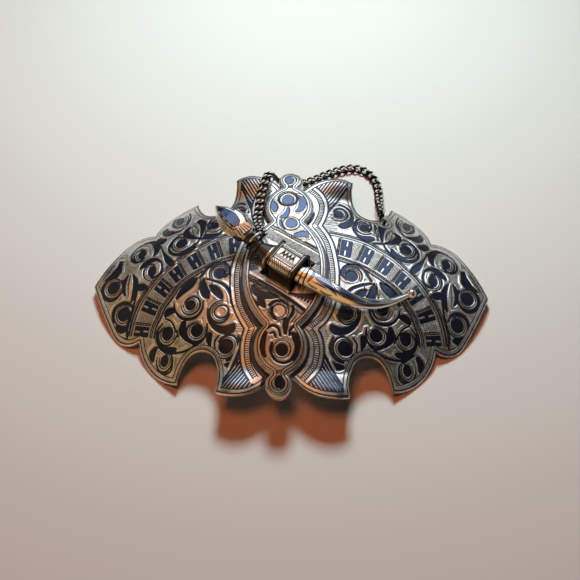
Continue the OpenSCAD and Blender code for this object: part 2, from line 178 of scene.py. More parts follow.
class Engraving:
    """Distances in mm from the points of a face to its niello and to its engraved lines."""

    def __init__(self, x, y):
        self.points = np.stack([x, y], 1)
        self.niello, self.ridge, self.line, self.hatch = (np.full(len(x), FAR) for _ in range(4))

    def around(self, rows, room=2.0):
        rows = np.asarray(rows, float)[:, :2]
        low, high = rows.min(0) - room, rows.max(0) + room
        return np.nonzero(((self.points > low) & (self.points < high)).all(1))[0]

    def gaps(self, near, chain):
        """Distance less the half width, and signed distance, to a chain of (x, y, half width)."""
        points = self.points[near]
        inside, signed = np.full(len(near), FAR), np.full(len(near), FAR)
        for a, b in zip(chain, chain[1:]):
            way = (b - a)[:2]
            t = np.clip((points - a[:2]) @ way / max(way @ way, 1e-9), 0, 1)
            off = points - a[:2] - t[:, None] * way
            gap = np.linalg.norm(off, axis=1)
            width = a[2] + t * (b[2] - a[2])
            inside = np.minimum(inside, gap - width)
            side = np.where(way[0] * off[:, 1] - way[1] * off[:, 0] < 0, -gap, gap)
            signed = np.where(gap < np.abs(signed), side, signed)
        return inside, signed

    def sink(self, near, gap, ridge=True):
        self.niello[near] = np.minimum(self.niello[near], gap)
        if ridge:
            self.ridge[near] = np.minimum(self.ridge[near], gap)

    def inlay(self, rows, smooth=True, ridge=True):
        """A stroke of niello through rows of (x, y, half width)."""
        chain = spline(rows) if smooth and len(rows) > 2 else np.array(rows, float)
        near = self.around(chain, 3.0)
        self.sink(near, self.gaps(near, chain)[0], ridge)

    def field(self, corners, ridge=True):
        """A patch of niello with straight sides."""
        loop = np.array(corners, float)
        near = self.around(loop, 3.0)
        gap = nearest(self.points[near], loop)[0]
        self.sink(near, np.where(within(self.points[near], [loop]), -gap, gap), ridge)

    def eye(self, x, y, across, along):
        near = self.around([(x - across, y - along), (x + across, y + along)], 3.0)
        off = (self.points[near] - (x, y)) / (across, along)
        self.sink(near, (np.linalg.norm(off, axis=1) - 1) * min(across, along))

    def spare(self, rows):
        """A stroke of silver left standing in the niello."""
        chain = np.array(rows, float)
        near = self.around(chain)
        self.niello[near] = np.maximum(self.niello[near], -self.gaps(near, chain)[0])

    def clear(self, rows, reach):
        """Takes all ornament off within a distance of a chain, for what is cut there next."""
        chain = np.array([(*row[:2], 0) for row in rows])
        near = self.around(chain, reach + 1)
        gap = self.gaps(near, chain)[0] - reach
        for layer in (self.niello, self.ridge):
            layer[near] = np.maximum(layer[near], -gap)
        for layer in (self.line, self.hatch):
            layer[near] = np.where(gap < 0, FAR, layer[near])

    def cut(self, rows, smooth=True, fine=False):
        """A thin engraved line through rows of (x, y), or a finer one of a hatching."""
        rows = [(*row[:2], 0) for row in rows]
        chain = spline(rows) if smooth and len(rows) > 2 else np.array(rows, float)
        near = self.around(chain)
        self.take(self.hatch if fine else self.line, near, self.gaps(near, chain)[1])

    def ring(self, x, y, r, squeeze=1.0):
        near = self.around([(x - r, y - r * squeeze), (x + r, y + r * squeeze)])
        off = (self.points[near] - (x, y)) / (1, squeeze)
        self.take(self.line, near, np.linalg.norm(off, axis=1) - r)

    def curl(self, x, y, across, along, start, sweep):
        """A thin line that leaves an eye's edge, and a broader one of niello outside it."""
        t = np.linspace(0, 1, 28)
        turn = np.radians(start + sweep * t)
        way = np.stack([np.cos(turn), np.sin(turn)], 1)
        thin = (x, y) + ((across, along) + (0.1 + 0.4 * eased(t * 4))[:, None]) * way
        broad = (x, y) + ((across, along) + (0.5 + 0.75 * eased(t * 3))[:, None]) * way
        half_width = 0.1 + 0.16 * np.sin(np.pi * np.clip(t * 1.1, 0, 1))
        self.cut(thin, smooth=False)
        self.inlay(np.column_stack([broad, half_width]), smooth=False)

    def take(self, layer, near, signed):
        layer[near] = np.where(np.abs(signed) < np.abs(layer[near]), signed, layer[near])


def piece(name, points, faces, look, node, layers=None, crease=None):
    """A piece of the buckle from points in mm, riding on the one body that there is."""
    mesh = bpy.data.meshes.new(name)
    faces = [[int(corner) for corner in face] for face in faces]
    mesh.from_pydata(((points - (0, SEAT, 0)) * MM).tolist(), [], faces)
    for key, values in (layers or {}).items():
        mesh.attributes.new(key, "FLOAT", "POINT").data.foreach_set("value", values.astype(np.float32))
    mesh.shade_smooth()
    if crease:
        mesh.set_sharp_from_angle(angle=np.radians(crease))
    mesh.materials.append(look)
    made = bpy.data.objects.new(name, mesh)
    bpy.context.scene.collection.objects.link(made)
    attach(made, "root")
    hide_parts(node)
    return made


class Wire:
    """A socket of a finish. Sums and products of wires add the nodes that work them out."""

    def __init__(self, tree, socket=None):
        self.tree, self.socket = tree, socket

    def node(self, kind, settings=None, values=None, out=0):
        """Any node: its type, then its settings, then the values or wires of its sockets."""
        made = self.tree.nodes.new("ShaderNode" + kind)
        for key, value in (settings or {}).items():
            setattr(made, key, value)
        for key, value in (values or {}).items():
            if isinstance(value, Wire):
                self.tree.links.new(value.socket, made.inputs[key])
            else:
                made.inputs[key].default_value = value
        return Wire(self.tree, made.outputs[out])

    def math(self, operation, *values, clamp=False):
        settings = {"operation": operation, "use_clamp": clamp}
        return self.node("Math", settings, dict(enumerate(values)))

    def __add__(self, other):
        return self.math("ADD", self, other)

    def __mul__(self, other):
        return self.math("MULTIPLY", self, other)

    def __sub__(self, other):
        return self.math("SUBTRACT", self, other)

    def __rsub__(self, other):
        return self.math("SUBTRACT", other, self)

    def __truediv__(self, other):
        return self.math("DIVIDE", self, other)

    __radd__ = __add__
    __rmul__ = __mul__

    def __abs__(self):
        return self.math("ABSOLUTE", self)

    def share(self):
        return self.math("ADD", self, 0.0, clamp=True)

    def below(self, limit, soft):
        """1 where the wire is under the limit, 0 where it is over, over a soft step."""
        return ((limit - self) / soft + 0.5).share()

    def layer(self, name):
        return self.node("Attribute", {"attribute_name": name}, out=2)

    def noise(self, scale, detail):
        at = self.node("TexCoord", out=3)
        values = {"Vector": at, "Scale": scale, "Detail": detail, "Roughness": 0.55}
        return self.node("TexNoise", values=values)

    def mix(self, share, a, b):
        """One colour or the other, by the share of the second."""
        return self.node("Mix", {"data_type": "RGBA"}, {0: share, 6: a, 7: b}, out=2)


def finish(name, **constants):
    """A new finish, with what is the same all over set on the shader's own sockets."""
    made = bpy.data.materials.new(name)
    made.use_nodes = True
    shader = made.node_tree.nodes["Principled BSDF"]
    for key, value in constants.items():
        shader.inputs[key.replace("_", " ")].default_value = value
    return made, Wire(made.node_tree), shader


def feed(wire, shader, **sockets):
    for key, value in sockets.items():
        wire.tree.links.new(value.socket, shader.inputs[key.replace("_", " ")])


BRIGHT = (0.80, 0.79, 0.77, 1)
WORN = (0.40, 0.39, 0.375, 1)
CUT_DARK = (0.045, 0.043, 0.045, 1)
INK = (0.046, 0.056, 0.094, 1)
# The cartouche is painted darker and browner towards its foot, as shade and warm reflection: where in Y that
# begins, and over how far
FOOT_FROM, FOOT_OVER = 1.0 * MM, 16.0 * MM
FOOT_SHADE_SILVER = (0.34, 0.23, 0.15, 1)
# Width of the plain border along the saw cut, where the thin line is cut that ends it, and the middle
# and half width of the niello line in it
BORDER, BORDER_CUT, RIM_LINE, RIM_LINE_HALF = 1.5, 1.45, 0.42, 0.12


def nielloed(name, ink=INK, graver=0.15, gloss=0.0, wavy=0.5, dirt=1.0, foot=None):
    """Polished silver with niello and dark engraved lines, read from the distances on the mesh."""
    made, wire, shader = finish(name, Metallic=1.0)
    niello, line, hatch = (wire.layer(layer) for layer in ("niello", "line", "hatch"))
    inlaid = niello.below(0.06, 0.06)
    graved = abs(line).below(graver, 0.08) * wire.layer("line_near").below(0.4, 0.05)
    hatched = abs(hatch).below(0.09, 0.08) * wire.layer("hatch_near").below(0.3, 0.05) * 0.55
    border = abs(wire.layer("edge") - BORDER_CUT).below(0.14, 0.06)
    cuts = (graved + hatched + border).share()
    mottle, fine = wire.noise(260.0, 4.0), wire.noise(2400.0, 2.0)
    uneven, grain = wire.noise(420.0, 2.0), wire.noise(1500.0, 1.0)
    beside_cuts = wire.layer("line_near").below(0.3, 0.5) * 0.35 + niello.below(0.45, 0.5) * 0.2
    specks = ((niello - 0.8) / 0.4).share() * grain.below(0.5, 0.12) * 0.45
    grime = (beside_cuts + mottle.below(0.48, 0.2) * 0.35 + specks) * dirt
    silver = wire.mix(grime.share(), BRIGHT, WORN)
    # Painted shade and reflection: lower down, the silver is mixed towards a brown and the ink towards the
    # foot's near black
    if foot:
        up_plate = wire.node("SeparateXYZ", values={"Vector": wire.node("TexCoord", out=3)}, out=1)
        low = ((FOOT_FROM - up_plate) / FOOT_OVER).share()
        silver = wire.mix(low * 0.6, silver, FOOT_SHADE_SILVER)
        ink = wire.mix(low, ink, foot)
    silver = wire.mix(cuts, silver, CUT_DARK)
    colour = wire.mix(inlaid, silver, ink)
    rough = (0.19 - gloss) + mottle * (0.12 * dirt) + fine * (0.06 * dirt)
    deep = cuts * -0.7 + inlaid * -0.35 + fine * 0.05 + uneven * wavy
    bump = wire.node("Bump", values={"Height": deep, "Distance": 0.00012, "Strength": 0.9})
    feed(wire, shader, Base_Color=colour, Roughness=rough, Normal=bump)
    return made


def plain_silver(name, tone=BRIGHT, rough=0.32):
    """Plain silver on the hidden sides, with the marks of the hammer and the file."""
    made, wire, shader = finish(name, Metallic=1.0)
    dents = wire.noise(160.0, 2.0)
    darker = [v * 0.6 for v in tone[:3]] + [1]
    bump = wire.node("Bump", values={"Height": dents, "Distance": 0.0004, "Strength": 0.4})
    colour = wire.mix(dents.below(0.45, 0.3), tone, darker)
    feed(wire, shader, Base_Color=colour, Roughness=rough + dents * 0.12, Normal=bump)
    return made


# Scrolls: the middle on the right wing and, mirrored, on the left one, half sizes of the niello
# eye, start and sweep in degrees of the line that curls round it, and strokes of niello as
# (x, y, half width) round the right one
SCROLLS = [
    ((13.7, 22.6), (15.6, 22.4), (1.45, 1.45), (150, -290),
     [[(11.2, 22.4, .2), (11.3, 24.2, .25), (12.4, 26, .3), (14.2, 26.6, .35), (16.2, 25.6, .35),
       (17.4, 23.6, .4), (17.6, 21.6, .6), (16.6, 19.3, 1.1), (15.2, 18.2, 1.1), (14.4, 18, .7)]]),
    ((21.4, 18.5), (23, 18), (1.4, 1.4), (40, 280),
     [[(22.6, 17.2, .3), (23.4, 18.9, .25), (22.9, 20.9, .25), (21.2, 22, .25), (19.4, 21.4, .3),
       (18.3, 19.5, .3), (18.3, 17.2, .35), (19.4, 15.2, .4), (21, 14.4, .8), (22.6, 14.2, 1.1),
       (23.7, 14.6, .7)]]),
    ((34.2, 23.2), (34.3, 22.8), (1.3, 2.0), (60, -300),
     [[(31.8, 26.8, .2), (31.1, 24.5, .25), (31.1, 22.4, .27), (31.9, 20.2, .3), (33.6, 18.2, .4),
       (35.3, 17.8, .7), (37.2, 17.9, 1.35), (38.2, 19.2, 1.0), (38.3, 20.7, .4)],
      [(36.1, 25.6, .2), (36.5, 23.6, .3), (36, 21.7, .25), (35, 20.9, .2)],
      [(37.9, 14.9, .9), (38.9, 14.5, 1.3), (39.6, 15.4, .9), (40.4, 14.2, .3)]]),
    ((33.5, 12.2), (32.2, 12), (1.7, 1.9), (130, -270),
     [[(31.3, 13.8, .2), (31.9, 15.8, .25), (33.5, 16.4, .3), (35.2, 15.5, .3), (36.6, 13.7, .3),
       (37.2, 11.5, .35), (36.8, 9.6, .4), (35.4, 8.2, .5), (33.4, 7.9, .7), (31.4, 8.7, .9),
       (30, 10, .85), (29.5, 11.3, .4)],
      [(35.5, 4.6, .9), (36.6, 6.1, 1.05), (38, 8.3, .5), (38.9, 10, .25), (39.9, 12.3, .2)]]),
    ((45.3, 9.5), (44, 9.8), (1.3, 2.0), (80, -230),
     [[(44.5, 7.6, .4), (46.4, 6.1, .3), (48.1, 7.3, .35), (48.7, 9.5, .3), (48.1, 11.8, .25),
       (46.8, 13.3, .25), (45, 14.3, .35), (43, 14.2, .7), (41.5, 12.8, 1.1), (40.9, 10.8, .95),
       (41.1, 9, .6), (41.6, 8, .3)]]),
    ((41.1, 2.1), (39.8, 2.5), (1.3, 1.9), (110, -200),
     [[(38.8, 5.4, .25), (38.2, 3, .3), (38.5, 1, .3), (39.5, 0, .35), (40.9, -.1, .4)],
      [(38.8, 5.2, .25), (40.3, 6.3, .6), (42.2, 6.1, 1.0), (43.9, 4.7, .9), (44.9, 3.6, .4)]]),
    ((50.9, -1.6), (51, -1.5), (2.0, 2.1), (160, -320),
     [[(48.6, .5, .2), (47.9, -1.8, .2), (48.6, -4, .3), (50.2, -5.5, .35), (52.2, -5.4, .35),
       (54, -3.9, .3), (54.7, -1.5, .25), (53.8, .8, .2), (52, 2, .2)]]),
    ((47.8, -10), (46.8, -10), (1.9, 2.0), (130, -300),
     [[(45.1, -9.6, .2), (46, -7.5, .3), (48, -6.6, .35), (50.2, -7.4, .3), (51.3, -9.5, .3),
       (50.9, -11.7, .25)],
      [(47, -14.2, .6), (48.3, -14, 1.0), (49.6, -13.1, .6)]]),
    ((17.7, .3), (19.5, 0), (1.8, 1.8), (170, -200),
     [[(16.2, -1, .3), (15, .6, .35), (15.5, 2.8, .3), (17.2, 3.9, .3), (19.6, 3.8, .35),
       (21.5, 2.3, .35), (22.6, .4, .35), (23.4, -.8, .3)]]),
    ((26.5, -9.5), (27, -9.6), (1.5, 1.5), (20, 340),
     [[(23, -8.6, .2), (23.1, -11, .3), (24.6, -13, .4), (27, -13.5, .45), (29.2, -12.7, .4),
       (30.8, -10.8, .3), (31.4, -8.6, .2)]]),
    ((16.4, -11.4), (18, -12), (2.1, 2.1), (200, 250),
     [[(12.8, -15.6, .6), (13.6, -16.6, 1.3), (15.6, -16.8, 1.15), (17.8, -15.8, .8),
       (19.4, -14.3, .4), (20.2, -12.4, .25), (20.3, -10.4, .2)]]),
    ((24.8, -16.8), (24.5, -17), (1.8, 1.8), (100, -300),
     [[(28.8, -14.5, .75), (29, -16.2, 1.1), (28.4, -18, .8), (26.8, -19.6, .45), (25, -20.5, .3),
       (23.2, -19.9, .25), (22.1, -17.8, .25), (22.1, -15.2, .2)]]),
    ((33, -16.4), (33, -17), (1.6, 1.9), (60, -250),
     [[(30.6, -20.9, .6), (32, -20.9, .9), (33.8, -20.5, .7), (35.3, -19.3, .35), (36.2, -17.2, .3),
       (35.9, -15, .25), (34.6, -13.6, .2)]]),
    ((16.4, -21.5), (16, -22), (2.1, 2.1), (30, 300),
     [[(16, -25.4, .3), (14.2, -24.9, .3), (12.7, -23.2, .3), (12.4, -21, .3), (13.2, -18.8, .25)],
      [(18.6, -18.4, .2), (19.6, -20, .25), (19.4, -22.2, .2)],
      [(21.2, -18, .8), (21.3, -19.6, .8), (20.9, -21.2, .3)],
      [(13.3, -26, .6), (14.4, -26.8, 1.0), (15.9, -26.6, .6)]]),
    ((33.6, -24.3), (33.5, -24), (1.2, 1.5), (100, 290),
     [[(31.3, -24.6, .2), (31.4, -26.8, .25), (33, -27.6, .25), (35, -26.8, .25), (36, -24.9, .2)],
      [(36.6, -20.8, .7), (37.4, -22, 1.0), (37.2, -23.6, .5)]]),
]
# Leaves, bulbs and broad dark lines between the scrolls, as (x, y, half width)
LEAVES = [
    [(45.6, 2.2, .2), (44.5, 0, .75), (44.1, -2.5, .9), (44.3, -5, .75), (45, -6.8, .2)],
    [(40.8, -2.8, .5), (42, -2.6, 1.2), (43.4, -2.2, .8)],
    [(47, 2.2, .2), (47.7, .4, .6), (47.9, -1.5, .65), (47.5, -3.6, .5), (46.9, -4.6, .2)],
    [(42.6, -17.4, .3), (45, -17.2, .45), (47.5, -16.1, .45), (50, -14.3, .3)],
    [(43.5, -4.5, .25), (44.2, -9, .3), (45.4, -13, .3), (45.4, -16.3, .25)],
    [(23.4, -1.6, .25), (20.4, -2.6, .35), (17.8, -4, .4), (16, -6.6, .4), (15.3, -9.6, .35)],
    [(22, -3.9, .3), (20.4, -5.2, 1.15), (18.9, -7, .9), (18.2, -8, .3)],
    [(24.1, -1.6, .25), (23.9, -4, 1.1), (23, -6.4, 1.15), (22.2, -7.6, .4)],
    [(26, -1.2, .3), (27.8, -3, 1.3), (30, -5.4, .9), (31.2, -7.2, .4)],
    [(32, -10.7, .8), (33.2, -11, 1.1), (34.1, -12, .5)],
    [(26.6, 14, .25), (26.4, 17, .7), (26.6, 19.6, 1.1), (27.8, 20.8, .9)],
    [(30.5, 18.4, .5), (31.4, 17.4, .8), (31.1, 15.6, 1.1), (29.4, 14.2, .8), (27.4, 13.4, .3)],
    [(24, 12.8, .25), (26.6, 13.2, .35), (29, 14, .3)],
    [(26.9, 13, .2), (28, 10.8, .3), (30, 8.7, .3)],
    [(24.3, -20.9, .2), (27.5, -22.2, .3), (30.5, -22.4, .3), (33.5, -21.8, .25), (35.5, -20.2, .2)],
    [(29.8, -18.2, .2), (31, -15.8, .25), (32.3, -13.8, .25), (34, -12.8, .2)],
]
TIP_PATCH = [(49.6, 8), (51, 8.2), (51.4, 6), (52.9, 3.2), (54.9, 1.1), (52.6, 1.5), (50.3, 2),
             (49.4, 3.6)]
STEMS = [
    [(28.6, 14.5), (29.4, 16.5), (29.7, 19.2)], [(27.6, 15.2), (28, 17.4), (29.3, 19.4)],
    [(25.6, 14.2), (24.7, 17), (24.3, 20.5)], [(25.2, 14.4), (25.4, 17), (24.6, 20.2)],
    [(46.2, 1.8), (46.5, -1.4), (46.1, -4.8)],
    [(51.9, 7), (53.2, 4.2), (55, 1.9)], [(52.6, 6.8), (53.8, 4.6), (55.4, 2.4)],
    [(21.4, -2.9), (21.9, -6.4)], [(24.8, -1.4), (25.3, -6.2)],
]
# The band of squares: ends of its rungs on the outer and the inner line, two to a square
RUNGS = [
    (14.8, 12.9, 14.2, 7.2), (18, 12.3, 17.3, 6.3), (21.8, 11.2, 19.8, 5.6), (24.3, 9.8, 22.3, 4.5),
    (27.3, 8, 24.8, 3.1), (30, 6, 27.3, 1.5), (32.2, 3.8, 29.8, -.3), (34.8, 1.4, 32, -2.4),
    (36.7, -.9, 33.2, -4.4), (38.5, -3.6, 34.8, -6.8), (40.4, -6.7, 36.3, -9), (41.7, -9.6, 37.3, -11.7),
    (42.9, -13.6, 38.6, -14.6), (43.4, -16.2, 39, -17.2),
]
# Half width of the notches in the squares
NOTCH = 0.28
# The band's lines: 0 for its outer or 1 for its inner side, the distance outwards from there, and the
# half width of the niello or 0 for a thin line. Their two starts lie under the cartouche.
BAND_LINES = [(0, .7, 0), (0, 1.5, .22), (0, 2.1, 0), (1, -.7, 0), (1, -1.3, 0), (1, -2.0, .25)]
BAND_START = [(11.2, 13.4), (10.9, 7.6)]
# The fans: their corner on the right wing, the way in along a ray, the way from ray to ray, the
# number and step of the rays, and the step of the hatching beside them
FAN_CORNER, RAY_WAY, RAY_ASIDE = np.array([17.2, 34.4]), np.array([-.53, -.848]), np.array([-.848, .53])
RAYS, RAY_STEP, FAN_HATCHING = 11, 0.85, 0.72
# The milled border beside the cartouche, from top to bottom, with a cusp at each waist
RIGHT_ROPE = [
    (5.2, 31), (7.4, 28.8), (8.5, 26.2), (8.6, 23), (7.8, 19.6), (6.8, 17.2), (9, 14), (10.6, 10.6),
    (11.7, 6), (12.4, 1), (12.3, -4), (11.4, -9), (9.6, -13.3), (6.3, -16.6), (7.9, -18.8),
    (8.7, -21.5), (8.7, -24.5), (7.9, -27.6), (5.2, -31.3),
]
LEFT_ROPE = [
    (7.2, 31), (9.2, 28.8), (10.2, 26.2), (10.3, 23), (9.6, 19.6), (8.6, 17.2), (10.8, 14), (12.4, 10.6),
    (13.7, 6), (14.5, 1), (14.3, -4), (13.4, -9), (11.8, -12.8), (9.2, -17), (9.9, -19.5), (10.2, -22),
    (10, -25), (9.2, -28), (7.4, -31),
]
ROPE_CUSPS, MILLING = (5, 13), 0.62
# An eye on the left wing that has lost its niello
BARE_EYE = [(17.9, -12), (18.1, -12)]


def grave_scrolls(work, left):
    for right_at, left_at, eye, (start, sweep), strokes in SCROLLS:
        at = left_at if left else right_at
        shift = np.array([at[0] - right_at[0], at[1] - right_at[1], 0])
        work.eye(*at, *eye)
        work.curl(*at, *eye, start, sweep)
        for stroke in strokes:
            work.inlay(np.array(stroke) + shift)
    for leaf in LEAVES:
        work.inlay(leaf)
    work.field(TIP_PATCH)
    for stem in STEMS:
        work.cut(stem)


def grave_squares(work):
    """The band of squares, with two notches of silver in each, hatching between, and its lines."""
    rungs = np.array(RUNGS).reshape(-1, 2, 2)
    for (outer, inner), (first, second) in zip(rungs[::2], rungs[1::2]):
        work.field([outer, first, second, inner], ridge=False)
        over, under = (outer, first), (inner, second)
        for mouth_side, foot_side, share in ((over, under, .55), (under, over, .45)):
            mouth, foot = (a + (b - a) * share for a, b in (mouth_side, foot_side))
            notch = [mouth + (foot - mouth) * depth for depth in (.08, .34)]
            work.spare(np.column_stack([notch, [NOTCH, NOTCH]]))
        step = (outer - first) / np.linalg.norm(outer - first)
        for beside in (0.35, 0.85):
            work.cut([outer + step * beside, inner + step * beside])
    for here, there in zip(rungs[1::2], rungs[2::2]):
        for share in np.arange(1, 6) / 7:
            work.cut(here + (there - here) * share, fine=True)
        for share in np.arange(1, 8) / 8:
            start, end = (ends[0] + (ends[1] - ends[0]) * share for ends in (here, there))
            work.cut([start, end * .6 + start * .4], fine=True)
    away = (rungs[:, 0] - rungs[:, 1]) / np.linalg.norm(rungs[:, 0] - rungs[:, 1], axis=1)[:, None]
    for side, step, width in BAND_LINES:
        lead = np.concatenate([[np.array(BAND_START[side]) + (0, step)], rungs[:, side] + away * step])
        if width:
            work.inlay(np.column_stack([lead, np.full(len(lead), width)]), ridge=False)
        else:
            work.cut(lead)


def grave_fans(work, left):
    """The rays of both fans, and the hatching between each fan and the band of squares."""
    corner = FAN_CORNER + (0.6 if left else 0, 0)
    shift = 2 if left else 0
    bound = [corner + RAY_WAY * 0.5, corner + RAY_WAY * 6, (9.4 + shift, 21), (8.4 + shift, 17.6)]
    for sign in (1, -1):
        for y in np.arange(15.9, 22.4, FAN_HATCHING):
            work.cut([(8.6 + shift, y * sign), (13.4, y * sign)], fine=True)
        edge = np.array(bound) * (1, sign)
        work.clear(edge, 1.0)
        more = 0.05 if sign < 0 else 0 if left else -0.04
        for k in range(RAYS):
            first = corner + RAY_ASIDE * RAY_STEP * k
            ray = np.array([first, first + RAY_WAY * max(13.5 - 1.1 * k, 8)]) * (1, sign)
            wide = np.array([.26, .16] if k % 2 else [.2, .2])
            work.inlay(np.column_stack([ray, wide + more]), ridge=False)
        work.inlay(np.column_stack([edge, [.3, .3, .3, .25]]), ridge=False)


def free(chain, others, room):
    """Which points of a chain keep their distance from the other chains."""
    return np.min([nearest(chain, other, False)[0] for other in others], 0) > room


def runs_along(chain):
    """How far each point of a chain is from its first one, along the chain."""
    return np.concatenate([[0], np.cumsum(np.linalg.norm(np.diff(chain, axis=0), axis=1))])


def grave_border(work, rope):
    """The milled border in its three bends, which meet at the cusps, between its lines."""
    bends = [spline(rope[first:last + 1], 8)
             for first, last in zip((0, *ROPE_CUSPS), (*ROPE_CUSPS, len(rope) - 1))]
    for bend in bends:
        work.clear(bend, 2.0)
    for k, bend in enumerate(bends):
        others = [other for other in bends[max(k - 1, 0):k + 2] if other is not bend]
        way = np.gradient(bend, axis=0)
        out = np.stack([-way[:, 1], way[:, 0]], 1) / np.linalg.norm(way, axis=1)[:, None]
        for step in (-0.75, 0.65):
            line = bend + out * step
            work.cut(line[free(line, others, abs(step) - 0.04)], smooth=False)
        line = bend + out * 1.9
        line = line[free(line, others, 1.86)]
        work.inlay(np.column_stack([line, np.full(len(line), 0.22)]), smooth=False, ridge=False)
        run = runs_along(bend)
        for s in np.arange(0.3, run[-1], MILLING):
            dot, side = (np.array([np.interp(s, run, row) for row in table.T]) for table in (bend, out))
            if free(dot[None], others, 0.35)[0]:
                work.inlay([(*(dot - side * .35), .1), (*(dot + side * .4), .1)], ridge=False)


def grave_wing(work, left):
    """The whole ornament of a wing. The left wing's points come in mirrored."""
    grave_scrolls(work, left)
    grave_squares(work)
    grave_fans(work, left)
    if left:
        work.clear(BARE_EYE, 1.7)
    grave_border(work, LEFT_ROPE if left else RIGHT_ROPE)


# How high and how wide the silver is rounded along the niello, and how deep the niello lies
RIBBON_RISE, RIBBON_WIDE, NIELLO_DEEP = 0.14, 0.8, 0.03


def ribbons(niello):
    """The rounded back of the silver along the niello."""
    raised = RIBBON_RISE * np.sin(np.pi * np.clip(niello / RIBBON_WIDE, 0, 1))
    return raised - NIELLO_DEEP * np.clip(-niello / 0.1, 0, 1)


# Under the cartouche the seam runs down the middle, and the left half has a tongue over it
SEAM_X, SEAM_GAP, SEAM_Y, TONGUE_X, TONGUE_Y = -1.2, 0.3, 28.0, 6.9, 8.0
upper = quarter((3.4, 31.6))
cove_x, notch_y = SEAM_X + SEAM_GAP, TONGUE_Y + 2 * SEAM_GAP
right_outline = np.concatenate([
    upper,
    [(cove_x, SEAM_Y), (cove_x, notch_y), (TONGUE_X + SEAM_GAP, notch_y),
     (TONGUE_X + SEAM_GAP, -notch_y), (cove_x, -notch_y), (cove_x, -SEAM_Y)],
    flipped(upper, (1, -1))[:-1],
])
upper = flipped(quarter((4.6, 32.6)), (-1, 1))
left_outline = np.concatenate([
    upper, flipped(upper, (1, -1))[1:],
    [(SEAM_X - SEAM_GAP, -SEAM_Y), (SEAM_X - SEAM_GAP, -TONGUE_Y), (TONGUE_X, -TONGUE_Y),
     (TONGUE_X, TONGUE_Y), (SEAM_X - SEAM_GAP, TONGUE_Y), (SEAM_X - SEAM_GAP, SEAM_Y)],
])
HOLE = (0.4748 * REACH, 0.6194 * HALF, 0.9)
# The cartouche's right side from its foot up, as (x, y, bulge). A dark band of painted shade runs round it
# on the plates.
CARTOUCHE_X = -1.0
CARTOUCHE_SIDE = [(0, -37.0, 2.31), (2.4, -30.7, 3.4), (5.1, -17, 1.9), (11.8, 0, 1.9), (5.1, 17, 3.4),
                  (2.4, 30.7, 2.31), (0, 37.0, 0)]
right_side = np.array(corners_path(CARTOUCHE_SIDE))
cartouche_outline = np.concatenate([right_side, flipped(right_side, (-1, 1))[1:-1]]) + (CARTOUCHE_X, 0)
turn = np.linspace(0, 2 * np.pi, 24, endpoint=False)
hole_loop = np.stack([HOLE[0] + HOLE[2] * np.cos(turn), HOLE[1] + HOLE[2] * np.sin(turn)], 1)


def face_layers(work, edge):
    return {"niello": work.niello, "line": work.line, "line_near": np.abs(work.line),
            "hatch": work.hatch, "hatch_near": np.abs(work.hatch), "edge": edge}


def rim_wall(top, rim, low):
    """The sawn edge from a face's rim down to the given heights, with points of its own."""
    ring, faces = np.unique(rim, return_inverse=True)
    faces = faces.reshape(-1, 2)
    upper = top[ring]
    lower = np.column_stack([upper[:, :2], np.minimum(low[ring], upper[:, 2])])
    count = len(ring)
    quads = np.stack([faces[:, 1], faces[:, 0], faces[:, 0] + count, faces[:, 1] + count], 1)
    return np.concatenate([upper, lower]), quads


def wing(name, loops, left):
    plan, quads, rim = sawn(loops, WING_GRAIN)
    x, y = plan.T
    edge = np.min([nearest(plan, loop)[0] for loop in loops], 0)
    work = Engraving(-x if left else x, y)
    grave_wing(work, left)
    work.niello = np.minimum(np.maximum(work.niello, BORDER - edge), abs(edge - RIM_LINE) - RIM_LINE_HALF)
    # Painted shade: a dark band of niello colour round the cartouche, where its raised side shades the
    # plates, is wider at its foot and on the left wing, and runs out at its upper lobe
    shade_band = 0.5 + (0.7 if left else 0.15) * eased((5 - y) / 20) - 1.3 * eased((y - 21.5) / 3)
    work.niello = np.minimum(work.niello, nearest(plan, cartouche_outline)[0] - shade_band)
    work.ridge = np.maximum(work.ridge, BORDER - edge)
    work.line, work.hatch = (np.where(edge < BORDER - 0.1, FAR, layer) for layer in (work.line, work.hatch))
    filed = 0.2 * (1 - np.sqrt(1 - (1 - np.clip(edge / 0.5, 0, 1)) ** 2))
    z = np.maximum(dome(x, y) + ribbons(work.ridge) * eased((edge - 1) / 1.5) - filed, 0.05)
    top = np.column_stack([x, y, z])
    piece(name + "_face", top, quads, NIELLOED, name, face_layers(work, edge))
    wall, wall_quads = rim_wall(top, rim, np.maximum(dome(x, y) - SHEET, 0))
    plan, quads, _ = sawn(loops, BACK_GRAIN)
    back = np.column_stack([plan, np.maximum(dome(*plan.T) - SHEET, 0)])
    faces = [*wall_quads.tolist(), *(quads[:, ::-1] + len(wall)).tolist()]
    piece(name + "_back", np.concatenate([wall, back]), faces, BACK_SILVER, name,
          crease=40)


NIELLOED = nielloed("nielloed silver")
BACK_SILVER = plain_silver("silver off the hammer")
wing("left_plate", [left_outline], True)
wing("right_plate", [right_outline, hole_loop], False)


# The cartouche. It is a raised slab of silver with rounded edges, soldered on the right half. It
# covers the seam, and a slot in it lets the staple through. Its ornament is cut as the wings' is.
LIFT, SLIDE_GAP, SHOULDER = 2.2, 0.3, 0.9
WIDE_BORDER, WIDE_CUT, FACE_LINE, FACE_LINE_HALF = 1.9, 1.8, 1.05, 0.1
PIN_TURN = np.radians(34)
STAPLE_AT = np.array([-0.2, 0.5])
SLOT_ALONG, SLOT_ACROSS = 5.5, 5.9
ALONG = np.array([np.cos(PIN_TURN), -np.sin(PIN_TURN)])
ACROSS = np.array([np.sin(PIN_TURN), np.cos(PIN_TURN)])
slot_loop = np.array([STAPLE_AT + u * SLOT_ALONG * ALONG + v * SLOT_ACROSS * ACROSS
                      for u, v in ((-1, -1), (1, -1), (1, 1), (-1, 1))])
